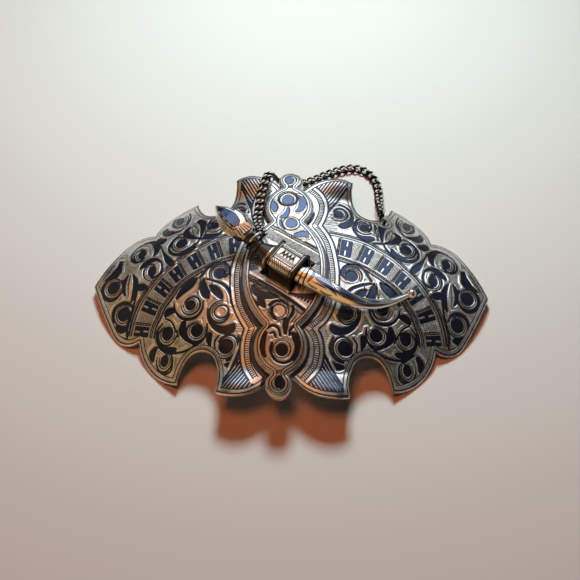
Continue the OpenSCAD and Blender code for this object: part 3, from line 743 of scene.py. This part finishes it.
# Strokes of niello as (x, y, half width), thin lines as (x, y), and rings as (x, y, radius)
CARTOUCHE_NIELLO = [
    [(-6.2, 24.6, .5), (-5.5, 23.2, .95), (-5.1, 21.8, .9), (-5, 20.8, .5)],
    [(1.6, 26.8, .4), (2.8, 25.6, .9), (3, 23.6, 1.1), (2.4, 21.6, .8), (1.4, 20.8, .4)],
    [(-1.2, 21.9, .35), (-1.3, 20.4, .6), (-2, 18.9, .8), (-3, 18.3, .45)],
    [(-3.2, 17.2, .3), (-2.9, 15.4, .35), (-1.8, 13.8, .2)],
    [(1.4, 11.8, .5), (2.8, 12, 1.0), (4.2, 12.3, 1.0), (4.8, 11.2, .4)],
    [(-9.6, -5.6, .4), (-8.8, -7, 1.0), (-7, -8.3, 1.2), (-4.8, -8.6, 1.0), (-2.8, -8.8, .5)],
    [(-7.2, -9.4, .9), (-6.6, -11, .8), (-6, -12, .4)],
    [(-9.3, -9.9, .35), (-8.3, -10.8, .5), (-7.6, -11.6, .2)],
    [(-3.8, -12, .3), (-3.8, -14, .35), (-2.6, -15.6, .3)],
    [(-4.6, -11.6, .25), (-3.4, -10.4, .3), (-1.6, -10, .25), (.3, -11.2, .25)],
    [(1.9, -11.6, .25), (1.9, -13.6, .4), (.9, -15.6, .25)],
    [(0.3, -15.8, .7), (0.1, -17.6, .7), (0.2, -19.6, .4)],
    [(-5.0, -19.4, .3), (-5.7, -21.6, .75), (-5.8, -24, .7), (-4.9, -26.2, .3)],
    [(-4.7, -18.4, .15), (-3.4, -17.4, .35), (-1.8, -18.2, .35), (-1.1, -20.4, .2)],
    [(-3.9, -19.8, .15), (-3, -19.4, .3), (-2.4, -20.8, .2)],
    [(-3.2, -22.4, .25), (-3.4, -24.6, .3), (-2.2, -27, .3), (0, -27.8, .3), (2, -27, .3), (3, -25, .25)],
    [(2.2, -19.6, .5), (3.4, -20.8, 1.2), (4.1, -22.8, 1.2), (3.7, -25, .9), (2.6, -26.8, .4)],
    [(1.4, -20.2, .2), (1.4, -18.8, .3), (2.3, -17.6, .3), (3.8, -17.2, .25)],
    [(-7.6, -4.2, .2), (-4, -6.3, .25), (0.4, -9.2, .3), (5.4, -13, .25)],
]
CARTOUCHE_BANDS = [
    [(-6.2, 15.8), (-3, 13.8), (0, 11.8), (4.6, 9), (9.4, 6.2)],
    [(-6.6, 14.9), (-2, 12.2), (2, 9.6), (5.6, 7.6), (9.8, 4.8)],
    [(-12, -1.2), (-6, -4.6), (0.3, -8.8), (6, -13)], [(-11.5, -3.4), (-5, -7.2), (1, -11.4), (4.6, -14.2)],
    [(-11.8, -2.1), (-8, -4.2), (-4, -6.4), (0, -9.4), (5.5, -13.5)],
    [(-11.7, -2.8), (-7, -5.4), (-3, -7.6), (1, -10.4)], [(-9.2, -5.2), (-7, -6.6), (-4, -7)],
    [(-5.2, 29), (-6.8, 26), (-7, 22.6), (-5.4, 19)], [(3.4, 28.2), (4.6, 25.6), (4.7, 22.6), (3.4, 19.6)],
    [(4.4, 9.6), (7, 8.1), (9.6, 6.4)],
]
CARTOUCHE_RINGS = [(-1.4, 25.4, 2.5), (-1.4, 25.6, 3.0), (0.1, 15.9, 2.5), (-1.9, -13.1, 1.9),
                   (-1.9, -13.1, 2.7), (-0.5, -24, 2.4)]


def grave_cartouche(work):
    for x, y, half_height in ((-1.4, 33.4, 1.6), (-0.6, -33, 1.75)):
        work.eye(x, y, 1.35, half_height)
        work.ring(x, y, 2.1, 1.2)
        work.ring(x, y, 2.8, 1.12)
    for eye in ((-1.4, 25.2, 1.75, 1.95), (0.1, 16.1, 1.7, 1.7), (-0.5, -24.2, 1.6, 1.8)):
        work.eye(*eye)
    for ring in CARTOUCHE_RINGS:
        work.ring(*ring)
    for stroke in CARTOUCHE_NIELLO:
        work.inlay(stroke)
    for band in CARTOUCHE_BANDS:
        work.cut(band)
    for s in np.arange(8) / 7:
        for stroke in ([(6 + 1.2 * s, .6 - 3.6 * s, .04), (9.9, 3.6 - 5 * s, .15)],
                       [(0.6 + 6 * s, -7.6 - 3 * s, .22), (3.2 + 5 * s, -8 + .5 * s, .34)],
                       [(-11.6, 4 - 4.6 * s, .22), (-8.4, 4.4 - 4.4 * s, .12)]):
            work.inlay(stroke, ridge=False)
        for line in ([(-7.8 + s * 3, 14.2 - s), (-6.6 + s * 3, 11 - .6 * s)],
                     [(5.8 + s * 3, 10.8 - 3 * s), (6.6 + s * 2, 12.2 - 5 * s)],
                     [(-7.1 - 1.5 * s, 14.3 - 2.4 * s), (9.7 - 1.5 * s, 4.2 - 2.4 * s)],
                     [(-11.2 + s, 1.8 - 2.6 * s), (-1 + s, -5.6 - 2 * s)]):
            work.cut(line, fine=True)


plan, quads, rim = sawn([cartouche_outline, slot_loop], WING_GRAIN)
x, y = plan.T
edge = nearest(plan, cartouche_outline)[0]
work = Engraving(x, y)
grave_cartouche(work)
work.niello = np.minimum(np.maximum(work.niello, WIDE_BORDER - edge), abs(edge - FACE_LINE) - FACE_LINE_HALF)
work.ridge = np.maximum(work.ridge, WIDE_BORDER - edge)
work.line, work.hatch = (np.where(edge < WIDE_CUT, FAR, layer) for layer in (work.line, work.hatch))
rounded = SHOULDER * (1 - np.sqrt(1 - (1 - np.clip(edge / SHOULDER, 0, 1)) ** 2))
z = dome(x, y) + LIFT - rounded + ribbons(work.ridge) * eased((edge - 1.2) / 1.5)
top = np.column_stack([x, y, z])
layers = face_layers(work, edge - (WIDE_CUT - BORDER_CUT))
# Painted reflection and shade: the blue ink stands in for the cool light that the niello reflects, and it
# goes near black towards the foot
painted_cartouche_niello = nielloed("niello with painted sheen and shade", (0.11, 0.145, 0.24, 1), foot=(0.03, 0.028, 0.035, 1))
piece("cartouche_face", top, quads, painted_cartouche_niello, "right_plate", layers)
# Its sides end just over the left half and its tongue, and go into the sheet of the right half
over_left = (x < SEAM_X + SEAM_GAP) | ((x < TONGUE_X + SEAM_GAP) & (np.abs(y) < notch_y))
low = dome(x, y) + np.where(over_left, SLIDE_GAP, -0.2)
wall, wall_quads = rim_wall(top, rim, low)
plan, quads, _ = sawn([cartouche_outline, slot_loop], BACK_GRAIN)
back = np.column_stack([plan, dome(*plan.T) + SLIDE_GAP])
piece("cartouche_sides", np.concatenate([wall, back]),
      [*wall_quads.tolist(), *(quads[:, ::-1] + len(wall)).tolist()],
      plain_silver("bright bevel", rough=0.2), "right_plate", crease=40)


# The staple. It is an arch of silver strip with rounded shoulders and a raised band at each end,
# soldered on the left half's tongue. The pin goes through it. Its top and sides are engraved. Its
# bands, legs, lining and ends are painted near black as the shade in the gaps and under the arch.
STAPLE_HALF, STAPLE_LEN, STAPLE_RISE, STAPLE_WALL, STAPLE_R = 4.3, 4.5, 5.35, 0.8, 1.6
# The order of a quad's corners when its other side has to show
TURNED_OVER = [0, 3, 2, 1]
FACE_MID = CROWN + LIFT
STAPLE_TOP = FACE_MID + STAPLE_RISE
staple_foot = CROWN - SHEET / 2


def arch(half, top, r):
    """The arch's section from the right foot over the top to the left foot."""
    bend = np.radians(np.arange(0, 91, 7.5))
    leg = [(half, z) for z in np.linspace(staple_foot, top - r, 20, endpoint=False)]
    turned = [(half - r + r * np.cos(a), top - r + r * np.sin(a)) for a in bend]
    flat = [(v, top) for v in np.linspace(half - r, 0, 12)[1:]]
    right_side = np.array(leg + turned + flat)
    return np.concatenate([right_side, right_side[-2::-1] * (-1, 1)])


def placed(u, v, z):
    """Points given along and across the pin, in the plates' own frame."""
    return np.column_stack([STAPLE_AT + np.outer(u, ALONG) + np.outer(v, ACROSS), z])


BAND, BAND_RISE = 3.8, 0.35
half_stations = np.array([*(0.13 + 0.26 * np.arange(13)), 3.5, BAND - 0.04, BAND + 0.04,
                          3.95, 4.2, 4.38, 4.46, STAPLE_LEN])
stations = np.concatenate([-half_stations[::-1], half_stations])
outset = np.select([np.abs(stations) > 4.48, np.abs(stations) > 4.4, np.abs(stations) > BAND],
                   [BAND_RISE - 0.15, BAND_RISE - 0.04, BAND_RISE], 0.0)
outer_rows, runs = [], []
for u, step in zip(stations, outset):
    section = arch(STAPLE_HALF + step, STAPLE_TOP + step, STAPLE_R + step)
    run = runs_along(section)
    outer_rows.append(placed(np.full(len(section), u), section[:, 0], section[:, 1]))
    runs.append(run - run[-1] / 2)
m, n = len(section), len(stations)
skin = net(n, m)[:, TURNED_OVER]
inner = arch(STAPLE_HALF - STAPLE_WALL, STAPLE_TOP - STAPLE_WALL, STAPLE_R - STAPLE_WALL)
inside = [placed(np.full(m, u), inner[:, 0], inner[:, 1]) for u in (-STAPLE_LEN, STAPLE_LEN)]
points = np.concatenate(outer_rows + inside)
base = n * m
j = np.arange(m - 1)
lining = np.stack([base + j, base + m + j, base + m + j + 1, base + j + 1], 1)
ends = np.concatenate([
    np.stack([j, base + j, base + j + 1, j + 1], 1),
    np.stack([(n - 1) * m + j, (n - 1) * m + j + 1, base + m + j + 1, base + m + j], 1),
])
s_run = np.concatenate([*runs, np.zeros(2 * m)])
u_run = np.concatenate([np.repeat(stations, m), np.full(2 * m, FAR)])
# The engraving is laid out by the distance along the pin and the run over the arch from its top
PANEL = 3.4
work = Engraving(u_run, s_run)
for at in (-PANEL, PANEL):
    work.cut([(at, -9), (at, 9)])
work.cut([(-2.2 + 0.55 * k, -1.3 if k % 2 else 0.3) for k in range(9)], smooth=False)
for k in range(4):
    work.inlay([(-1.65 + 1.1 * k, -1.2, .03), (-1.65 + 1.1 * k, -.1, .1)])
for row in (-2.5, -2.1, -1.7, 0.7, 1.1, 1.5):
    work.cut([(-3, row), (3, row)], fine=True)
for side in (-1, 1):
    for row in (2.0, 5.2):
        work.cut([(-PANEL, row * side), (PANEL, row * side)])
    for k in range(9):
        lean = np.clip(np.array([-3.3, -2.4, -2.1]) + 0.7 * k, -3.2, 3.2)
        work.inlay(np.column_stack([lean, np.array([2.3, 3.4, 4.9]) * side, [.02, .07, .02]]))
layers = face_layers(work, np.full(len(s_run), FAR))
NEAR_BLACK_SILVER = plain_silver("near-black silver", (0.07, 0.065, 0.06, 1), 0.28)
# Painted shade: the end bands, the legs, the lining and the end faces are near black, for the shade in the
# gaps at the ends and under the arch
on_band = (np.abs(u_run[skin].mean(1)) > BAND - 0.03) | (np.abs(s_run[skin].mean(1)) > 5.4)
bands = np.concatenate([skin[on_band], lining, ends])
for name, faces, look in (("staple_arch", skin[~on_band], NIELLOED), ("staple_bands", bands, NEAR_BLACK_SILVER)):
    used, faces = np.unique(faces, return_inverse=True)
    piece(name, points[used], faces.reshape(-1, 4), look, "left_plate",
          {key: layer[used] for key, layer in layers.items()}, crease=40)


# The sash bars. A plain strip of silver with two legs is soldered under each half, and the sash
# goes round it. Its edges are filed.
BAR_X, BAR_HALF, BAR_TOP, BAR_THICK, BAR_WIDTH, LEG = 30.0, 13.0, 2.6, 1.2, 2.4, 1.2


def bar_box(low, high):
    corners = [(x, y, z) for x in (low[0], high[0]) for y in (low[1], high[1]) for z in (low[2], high[2])]
    faces = [(0, 1, 3, 2), (4, 6, 7, 5), (0, 4, 5, 1), (2, 3, 7, 6), (0, 2, 6, 4), (1, 5, 7, 3)]
    return np.array(corners), np.array(faces)


for side, node in ((-1, "left_plate"), (1, "right_plate")):
    x0, x1 = side * BAR_X - BAR_WIDTH / 2, side * BAR_X + BAR_WIDTH / 2
    under = dome(BAR_X, BAR_HALF + LEG) - 0.5
    parts = [
        bar_box((x0, -BAR_HALF - LEG, BAR_TOP - BAR_THICK), (x1, BAR_HALF + LEG, BAR_TOP)),
        bar_box((x0, BAR_HALF, BAR_TOP), (x1, BAR_HALF + LEG, under)),
        bar_box((x0, -BAR_HALF - LEG, BAR_TOP), (x1, -BAR_HALF, under)),
    ]
    points = np.concatenate([part[0] for part in parts])
    faces = np.concatenate([part[1] + 8 * k for k, part in enumerate(parts)])
    bar = piece(node + "_bar", points, faces, BACK_SILVER, node, crease=30)
    soften = bar.modifiers.new("filed edges", "BEVEL")
    soften.width = 0.25 * MM
    soften.segments = 2


# The pin. It is a dagger cast in silver, with a faceted pommel, a dark neck with rings round its
# waist, a flared guard, and a nielloed sheath that curves and tapers to a ball.
PIN_AXIS = FACE_MID + 2.25
# Columns: along, across, height over the pin's axis, half width, half height, and how far the
# section goes from round, at 0, to six flat sides, at 1
HILT = [
    (-26.9, 1.96, 2.85, 0.25, 0.25, 1), (-23.9, 1.47, 2.55, 2.6, 2.2, 1), (-21.2, 1.25, 2.25, 3.9, 3.0, 1),
    (-19, 1.0, 2.05, 4.3, 3.3, 1), (-16.7, 0.62, 1.8, 3.95, 3.4, 1), (-14.3, 0, 1.55, 3.2, 3.2, 1),
    (-13.8, -0.1, 1.35, 2.2, 2.1, 0.5), (-12.3, -0.5, 1.1, 1.65, 1.65, 0), (-10.7, -0.68, 0.88, 1.6, 1.6, 0),
    (-10.1, -0.7, 0.78, 1.7, 1.7, 0), (-9.9, -0.71, 0.74, 2.15, 2.05, 0), (-9.2, -0.73, 0.62, 2.15, 2.05, 0),
    (-9, -0.74, 0.58, 1.8, 1.75, 0), (-8.2, -0.75, 0.44, 2.2, 1.9, 0), (-6.4, -0.74, 0.2, 3.1, 2.1, 0),
    (-5.4, -0.72, 0.1, 3.85, 2.2, 0), (-4.85, -0.7, 0.08, 3.85, 2.2, 0), (-4.8, -0.7, 0.07, 2.65, 2.05, 0),
]
SHEATH = [
    (-0.5, -0.5, 0, 2.8, 2.05, 0), (5.8, -0.5, 0, 2.75, 2.05, 0.3), (6, -0.48, 0, 3, 2.1, 0.3),
    (6.9, -0.35, 0, 3, 2.1, 0.3), (7.1, -0.3, 0, 2.75, 2.05, 0.5),
]
BLADE = [
    (7.2, -0.28, -0.01, 2.75, 2.05, 0.5), (13.67, 0.16, -0.5, 2.55, 2.05, 0.4),
    (18.63, 1.18, -1.55, 2.2, 1.9, 0.4), (22.47, 2.85, -2.75, 1.8, 1.6, 0.4),
    (26.3, 6.07, -4.15, 1.45, 1.3, 0.4), (28.81, 9.87, -5.5, 1.1, 1, 0.3), (30.7, 14.1, -6.5, 0.7, 0.7, 0),
]
# The ball's radius, middle and direction, and its rings by their angle from the foot in degrees
BALL_R, BALL_AT, BALL_WAY = 1.45, np.array([31.31, 15.57, -6.82]), (0.39, 0.92, -0.12)
BALL_RINGS = np.arange(32, 175, 8)
PIN_SIDES = 96
# Strokes of niello by the distance along the pin and the run round it from its top, with half
# widths, a patch on the pommel, and thin lines
PIN_NIELLO = [
    [(-26.2, .3, .06), (-24, -1.1, .12), (-21.6, -1.7, .2), (-21, -1.5, .08)],
    [(-26, .6, .08), (-23.6, 1.9, .16), (-20.4, 2.9, .14), (-17.4, 3.1, .2), (-16.3, 2.2, .1)],
    [(7.9, -2, .12), (8.5, -.6, .4), (8.6, .8, .35), (8.1, 2.2, .1)],
    [(9.6, -.2, .3), (11, -.3, .85), (13, -.1, .85), (15, .5, .45), (16.6, 1.3, .12)],
    [(15.8, -.7, .15), (17.6, -.5, .65), (20, -.2, .7), (22.4, .2, .45), (24.6, .6, .1)],
    [(25, -.3, .1), (26.8, -.1, .4), (28.8, .2, .1)], [(8.8, 2.3, .12), (10, 2.6, .3), (11.4, 2.4, .12)],
    [(12.4, 2.3, .12), (13.8, 2.7, .35), (15.6, 2.2, .1)],
]
POMMEL_PATCH = [
    (-25.8, .2), (-24.4, 1.5), (-24.2, 1.0), (-22.2, 2.1), (-21.8, 1.5), (-20, 2.5), (-19.6, 1.9),
    (-18, 2.7), (-17, 2.0), (-16.6, .9), (-17.6, -.5), (-20, -1.2), (-23, -.9),
]
PIN_LINES = [
    [(9.2, -1.7), (12, -1.5), (15, -.5), (17.2, .8)], [(15.2, -1.6), (19, -1.4), (23, -.8), (26, -.2)],
    [(23.4, -1.2), (23.6, 0)],
]


def unit(v):
    return np.asarray(v, float) / np.linalg.norm(v)


def densely(rows, step=0.3):
    """Rows with more of them put in on straight lines, at most a step apart along the pin."""
    made = []
    for here, there in zip(rows, rows[1:]):
        count = max(1, int(np.ceil(abs(there[0] - here[0]) / step)))
        made += [here + (there - here) * k / count for k in range(count)]
    return made + [rows[-1]]


ball_rows = [[*(BALL_AT - unit(BALL_WAY) * BALL_R * np.cos(a)), BALL_R * np.sin(a), BALL_R * np.sin(a), 0]
             for a in np.radians(BALL_RINGS)]
rows = np.array([*densely(np.array(HILT)), *densely(np.array(SHEATH)), *spline(BLADE, 16), *ball_rows])
middles = rows[:, :3] + (0, 0, PIN_AXIS)
ways = np.roll(middles, -1, 0) - np.roll(middles, 1, 0)
ways[0], ways[-1] = middles[1] - middles[0], middles[-1] - middles[-2]
ways /= np.linalg.norm(ways, axis=1)[:, None]
sides = np.cross([0, 0, 1], ways)
sides /= np.linalg.norm(sides, axis=1)[:, None]
ups = np.cross(ways, sides)
angles = 2 * np.pi * np.arange(PIN_SIDES) / PIN_SIDES
sixth = np.pi / 3
hexagon = np.cos(sixth / 2) / np.cos(angles % sixth - sixth / 2)
half_widths, half_heights, facets = rows[:, 3:4], rows[:, 4:5], rows[:, 5:6]
shares = 1 - facets * (1 - hexagon)
spots = (middles[:, None] + (shares * half_widths * np.cos(angles))[..., None] * sides[:, None]
         + (shares * half_heights * np.sin(angles))[..., None] * ups[:, None])
points = placed(*spots.reshape(-1, 3).T)
count = len(rows)
skin = net(count, PIN_SIDES, columns_closed=True)[:, TURNED_OVER]

# Where the sheath bends across, the way along it is longer than along the hilt
along_pin = np.repeat(rows[:, 0] + 0.35 * rows[:, 1] * (rows[:, 0] > 12), PIN_SIDES)
from_top = (angles[None] - np.pi / 2 + np.pi) % (2 * np.pi) - np.pi
around_pin = (from_top * (half_widths + half_heights) / 2).ravel()
work = Engraving(along_pin, around_pin)
work.field(POMMEL_PATCH)
for stroke in PIN_NIELLO:
    work.inlay(stroke)
for line in PIN_LINES:
    work.cut(line)
for at in (-9.0, -5.9, -5.1, 5.9, 7.0):
    work.cut([(at, -9), (at, 9)])
for u, s in ((-22.6, -2.5), (-20.6, -2.8), (-18.8, -2.4), (-17.4, -2.0)):
    work.inlay([(u, s, .06), (u + .9, s + .25, .22), (u + 1.7, s + .1, .06)])
for s in (-1.3, -.4, .6, 1.5, 2.4):
    work.inlay([(-16.4, .6 * s + .4, .05), (-14.4, s, .13)])
for u in np.arange(-21.6, -16, 0.5):
    work.cut([(u, 3.5), (u + 0.5, 5.2)], fine=True)
    work.cut([(u + 0.4, 5.2), (u + 0.7, 3.5)], fine=True)
POLISHED = nielloed("polished silver", (0.19, 0.22, 0.33, 1), graver=0.12, gloss=0.11, wavy=0.25, dirt=0.3)
POMMEL = nielloed("worn pommel", (0.055, 0.075, 0.125, 1), graver=0.12, gloss=0.07, wavy=0.5, dirt=0.6)
layers = face_layers(work, np.full(len(points), FAR))
# The pommel's rim is scalloped back at its sides, and the grip is dark from there to the guard
skin_u, skin_s = rows[skin[:, 0] // PIN_SIDES, 0], around_pin[skin[:, 0]]
rim = -13.8 - 2.3 * eased((skin_s - 2.6) / 2)
on_grip = (skin_u > rim) & (skin_u < -6.1)
on_pommel = skin_u <= rim
caps = [list(range(PIN_SIDES))[::-1], list(range((count - 1) * PIN_SIDES, count * PIN_SIDES))]
for name, faces, look in (("pommel", skin[on_pommel], POMMEL), ("grip", skin[on_grip], NEAR_BLACK_SILVER),
                          ("sheath", skin[~on_grip & ~on_pommel], POLISHED)):
    used, faces = np.unique(faces, return_inverse=True)
    faces = faces.reshape(-1, 4).tolist()
    faces += [np.searchsorted(used, cap) for cap in caps if np.isin(cap, used).all()]
    piece(name, points[used], faces, look, "dagger_pin",
          {key: layer[used] for key, layer in layers.items()}, crease=24)


# The chain and its two rings. Twisted curb links of round silver wire, near black and painted pale
# on top of each link as highlights, go from the ring round the pin's neck over the left fan and behind
# the buckle to the ring in the right half.
LINKS, LINK_WIRE, LINK_WIDTH, LINK_LENGTH, LINK_TWIST = 40, 0.68, 3.0, 4.03, 58.0
# The ring on the pin is pulled off the neck's middle and leans, and the one in the plate is tilted
RING_WIRE, HILT_R, HILT_PULL, HILT_LEAN = 0.76, 3.0, 0.8, np.radians(5)
RING_R, RING_TILT = 2.0, np.radians(20)
FIRST_ROOM, LAST_ROOM = 0.53, 0.31
# Degrees by which the first and the last link are rolled, and how many links it takes to lie flat
FIRST_ROLL, FIRST_ROLLED, LAST_ROLL, LAST_ROLLED = 27.0, 6, -32.0, 7
# How soon the links settle flat after a bend, and how square the ends of a link are
SETTLE, SQUARE = 0.3, 0.85
WIRE_STEPS, RING_STEPS, WIRE_SIDES = 36, 72, 12
UP = np.array([0, 0, 1.0])
# The middle line, as (x, y, height over the table), or over the plates' face where the last is 1
CHAIN = [
    (-9, 13.4, 3.75, 1), (-9.8, 17, 2.15, 1), (-9.8, 20.8, 1.4, 1), (-9.6, 25.6, 1.75, 1),
    (-9.2, 29.6, 2, 1), (-8.5, 32.6, 2.05, 1), (-8, 34.8, 1.8, 1), (-7.7, 36.6, 11.05, 0),
    (-7.2, 37.8, 9.05, 0), (-6.4, 38.6, 6.7, 0), (-5, 39.2, 4.4, 0), (-3, 39.9, 2.5, 0),
    (-0.4, 40.6, 1.3, 0), (2.6, 41.4, 1.12, 0), (6, 42.9, 1.05, 0), (9.8, 45, 1.01, 0),
    (14, 46.9, 0.97, 0), (18.3, 47.7, 0.95, 0), (21.9, 46.5, 0.94, 0), (24.6, 43.5, 0.94, 0),
    (25.8, 39.9, 1.06, 0), (26.1, 36, 1.7, 0), (26.1, 32.6, 3.3, 0),
]


DARK_WIRE, wire, shader = finish("dark silver wire with painted highlights", Metallic=1.0)
# Painted highlight: the wire is near black, and painted pale where it stands highest on each link and ring
painted_highlight = ((wire.layer("highlight_height") - 0.68) / 0.1).share()
feed(wire, shader, Base_Color=wire.mix(painted_highlight, (0.022, 0.019, 0.017, 1), (0.90, 0.87, 0.83, 1)),
     Roughness=0.14 + painted_highlight * 0.14)


def square_to(v, way):
    return unit(v - (v @ way) * way)


def wire_loop(name, line, middle, top, wire, node):
    """Round wire along a closed loop, with the share by which each point stands out to its top, which sets
    where it is painted pale as a highlight.
    """
    ways = np.roll(line, -1, 0) - np.roll(line, 1, 0)
    outs = np.array([square_to(here - middle, unit(way)) for here, way in zip(line, ways)])
    overs = np.cross([unit(way) for way in ways], outs)
    turn = 2 * np.pi * np.arange(WIRE_SIDES) / WIRE_SIDES
    facing = np.cos(turn)[:, None] * outs[:, None] + np.sin(turn)[:, None] * overs[:, None]
    points = (line[:, None] + wire / 2 * facing).reshape(-1, 3)
    highlight_height = (points - middle) @ top
    quads = net(len(line), WIRE_SIDES, rows_closed=True, columns_closed=True)
    piece(name, points, quads, DARK_WIRE, node, {"highlight_height": highlight_height / highlight_height.max()})


neck = np.array([-10.1, 6.4, PIN_AXIS + 0.95])
neck_way = unit((3.3, -3, -0.7))
neck_side = unit(np.cross(neck_way, UP))
hilt_out = -neck_side * np.cos(HILT_LEAN) - np.cross(neck_way, neck_side) * np.sin(HILT_LEAN)
hilt_middle = neck + HILT_PULL * hilt_out
ring_out = unit((-0.16, 0.98, -0.12))
ring_up = square_to(UP, ring_out)
ring_way = ring_up * np.cos(RING_TILT) + np.cross(ring_out, ring_up) * np.sin(RING_TILT)
ring_middle = np.array([*HOLE[:2], dome(*HOLE[:2]) - SHEET / 2]) + RING_R * ring_out
turn = 2 * np.pi * np.arange(RING_STEPS)[:, None] / RING_STEPS
hilt_way = np.cross(neck_way, hilt_out)
wire_loop("ring_on_pin", hilt_middle + HILT_R * (np.cos(turn) * hilt_out + np.sin(turn) * hilt_way),
          hilt_middle, UP, RING_WIRE, "hilt_ring")
wire_loop("ring_in_plate", ring_middle + RING_R * (np.cos(turn) * ring_out + np.sin(turn) * ring_way),
          ring_middle, UP, RING_WIRE, "plate_ring")

link_half = (LINK_LENGTH - LINK_WIRE) / 2
bite = RING_WIRE / 2 + LINK_WIRE / 2
first = hilt_middle + HILT_R * hilt_out + unit((-0.1, 0.86, -0.4)) * (link_half - bite - FIRST_ROOM)
last = ring_middle + RING_R * ring_out + unit((-0.05, 0.75, -0.62)) * (link_half - bite - LAST_ROOM)
line = spline([first, *[(x, y, z + on * dome(x, y)) for x, y, z, on in CHAIN], last], 12)
sums = runs_along(line)
pitch = sums[-1] / (LINKS - 1)


def on_chain(place):
    return np.array([np.interp(place * pitch, sums, line[:, k]) for k in range(3)])


up = UP
bend = 2 * np.pi * np.arange(WIRE_STEPS)[:, None] / WIRE_STEPS
lengthwise = np.sign(np.cos(bend)) * np.abs(np.cos(bend)) ** SQUARE
sideways = (LINK_WIDTH - LINK_WIRE) / 2 * np.sign(np.sin(bend)) * np.abs(np.sin(bend)) ** SQUARE
twist = np.radians(LINK_TWIST) * np.cos(bend)
for k in range(LINKS):
    way = unit(on_chain(k + 0.5) - on_chain(k - 0.5))
    up = square_to(up + (0, 0, SETTLE if k else 0), way)
    level = np.cross(up, way)
    rolled, rolled_back = max(0, 1 - k / FIRST_ROLLED), max(0, 1 - (LINKS - 1 - k) / LAST_ROLLED)
    roll = np.radians(FIRST_ROLL * rolled + LAST_ROLL * rolled_back)
    flat, top = level * np.cos(roll) + up * np.sin(roll), up * np.cos(roll) - level * np.sin(roll)
    middle = on_chain(k)
    across = np.cos(twist) * flat + np.sin(twist) * top
    loop = middle + link_half * lengthwise * way + sideways * across
    number = "%02d" % (k + 1)
    wire_loop("link_" + number, loop, middle, top, LINK_WIRE, "chain_link_" + number)


# The table under the buckle. It is a matt, pale off-white board, flat and plain, and it's no part of
# the buckle.
bpy.ops.mesh.primitive_plane_add(size=4, location=(0, 0, 0))
floor = bpy.context.object
floor.name = "floor"
paper, _, _ = finish("pale matt board", Base_Color=(0.80, 0.79, 0.78, 1), Roughness=0.9)
floor.data.materials.append(paper)


# The light. A cool key lamp behind draws the shadows and a warm lamp overhead fills them; they light
# the floor and the metal doesn't show them. The metal shows a soft window, two panels overhead and a
# dim room, none of which light the floor.
def panel(name, place, width, height, watts, colour):
    """A lamp that looks at the buckle's middle."""
    light = bpy.data.lights.new(name, "AREA")
    light.shape = "RECTANGLE"
    light.size = width
    light.size_y = height
    light.energy = watts
    light.color = colour
    lamp = bpy.data.objects.new(name, light)
    bpy.context.scene.collection.objects.link(lamp)
    lamp.location = place
    lamp.rotation_euler = (-Vector(place)).to_track_quat("-Z", "Y").to_euler()
    return lamp


for hidden in (panel("key lamp", (0.0, 0.17, 0.225), 0.075, 0.075, 0.74, (0.75, 1.0, 0.99)),
               panel("warm lamp", (-0.09, 0.0, 0.60), 0.20, 0.20, 1.0, (1.0, 0.24, 0.08))):
    hidden.visible_glossy = False
for shown in (panel("window", (0.05, 0.345, 0.37), 0.44, 0.29, 0.84, (0.87, 0.96, 1.0)),
              panel("warm panel", (-0.12, 0.14, 0.54), 0.40, 0.20, 0.30, (1.0, 0.32, 0.04)),
              panel("pale panel", (0.0, -0.10, 0.52), 0.40, 0.18, 0.10, (0.92, 0.84, 0.66))):
    shown.visible_diffuse = False

room = bpy.data.worlds.new("room")
room.use_nodes = True
backdrop = room.node_tree.nodes["Background"]
air = Wire(room.node_tree)
sky = (0.032, 0.023, 0.018, 1)
# The room's pale sides: the way to each, where it begins and how softly, and its colour
WALLS = [
    ((0.0, 0.80, 0.60), 0.70, 0.26, (0.31, 0.32, 0.32, 1)),
    ((-0.93, 0.20, 0.30), 0.78, 0.20, (0.62, 0.42, 0.24, 1)),
    ((0.93, 0.20, 0.30), 0.78, 0.20, (0.31, 0.29, 0.27, 1)),
    ((-0.40, -0.90, 0.15), 0.62, 0.25, (0.80, 0.42, 0.15, 1)),
]
for way, start, spread, colour in WALLS:
    values = {0: air.node("TexCoord", out=0), 1: way}
    toward = air.node("VectorMath", {"operation": "DOT_PRODUCT"}, values, out=1)
    sky = air.mix(((toward - start) / spread).share(), sky, colour)
room.node_tree.links.new(sky.socket, backdrop.inputs["Color"])
room.cycles_visibility.diffuse = False
bpy.context.scene.world = room


# The camera. It stands in front of the buckle, near the middle line, and looks down on it at about
# sixty degrees. Its place is in mm, and the other two values are the way it looks and its right.
eye = Vector((11.96, -134.12, 223.28)) * MM
ahead = Vector((-0.0463, 0.5045, -0.8622)).normalized()
right = Vector((0.9985, 0.0499, -0.0244)).normalized()
lens = bpy.data.cameras.new("camera")
lens.sensor_width = 36
lens.lens = 54.4
lens.clip_start = 0.01
camera = bpy.data.objects.new("camera", lens)
bpy.context.scene.collection.objects.link(camera)
turned = Matrix((right, right.cross(ahead), -ahead)).transposed().to_4x4()
camera.matrix_world = Matrix.Translation(eye) @ turned
bpy.context.scene.camera = camera
bpy.context.scene.view_settings.view_transform = "Standard"
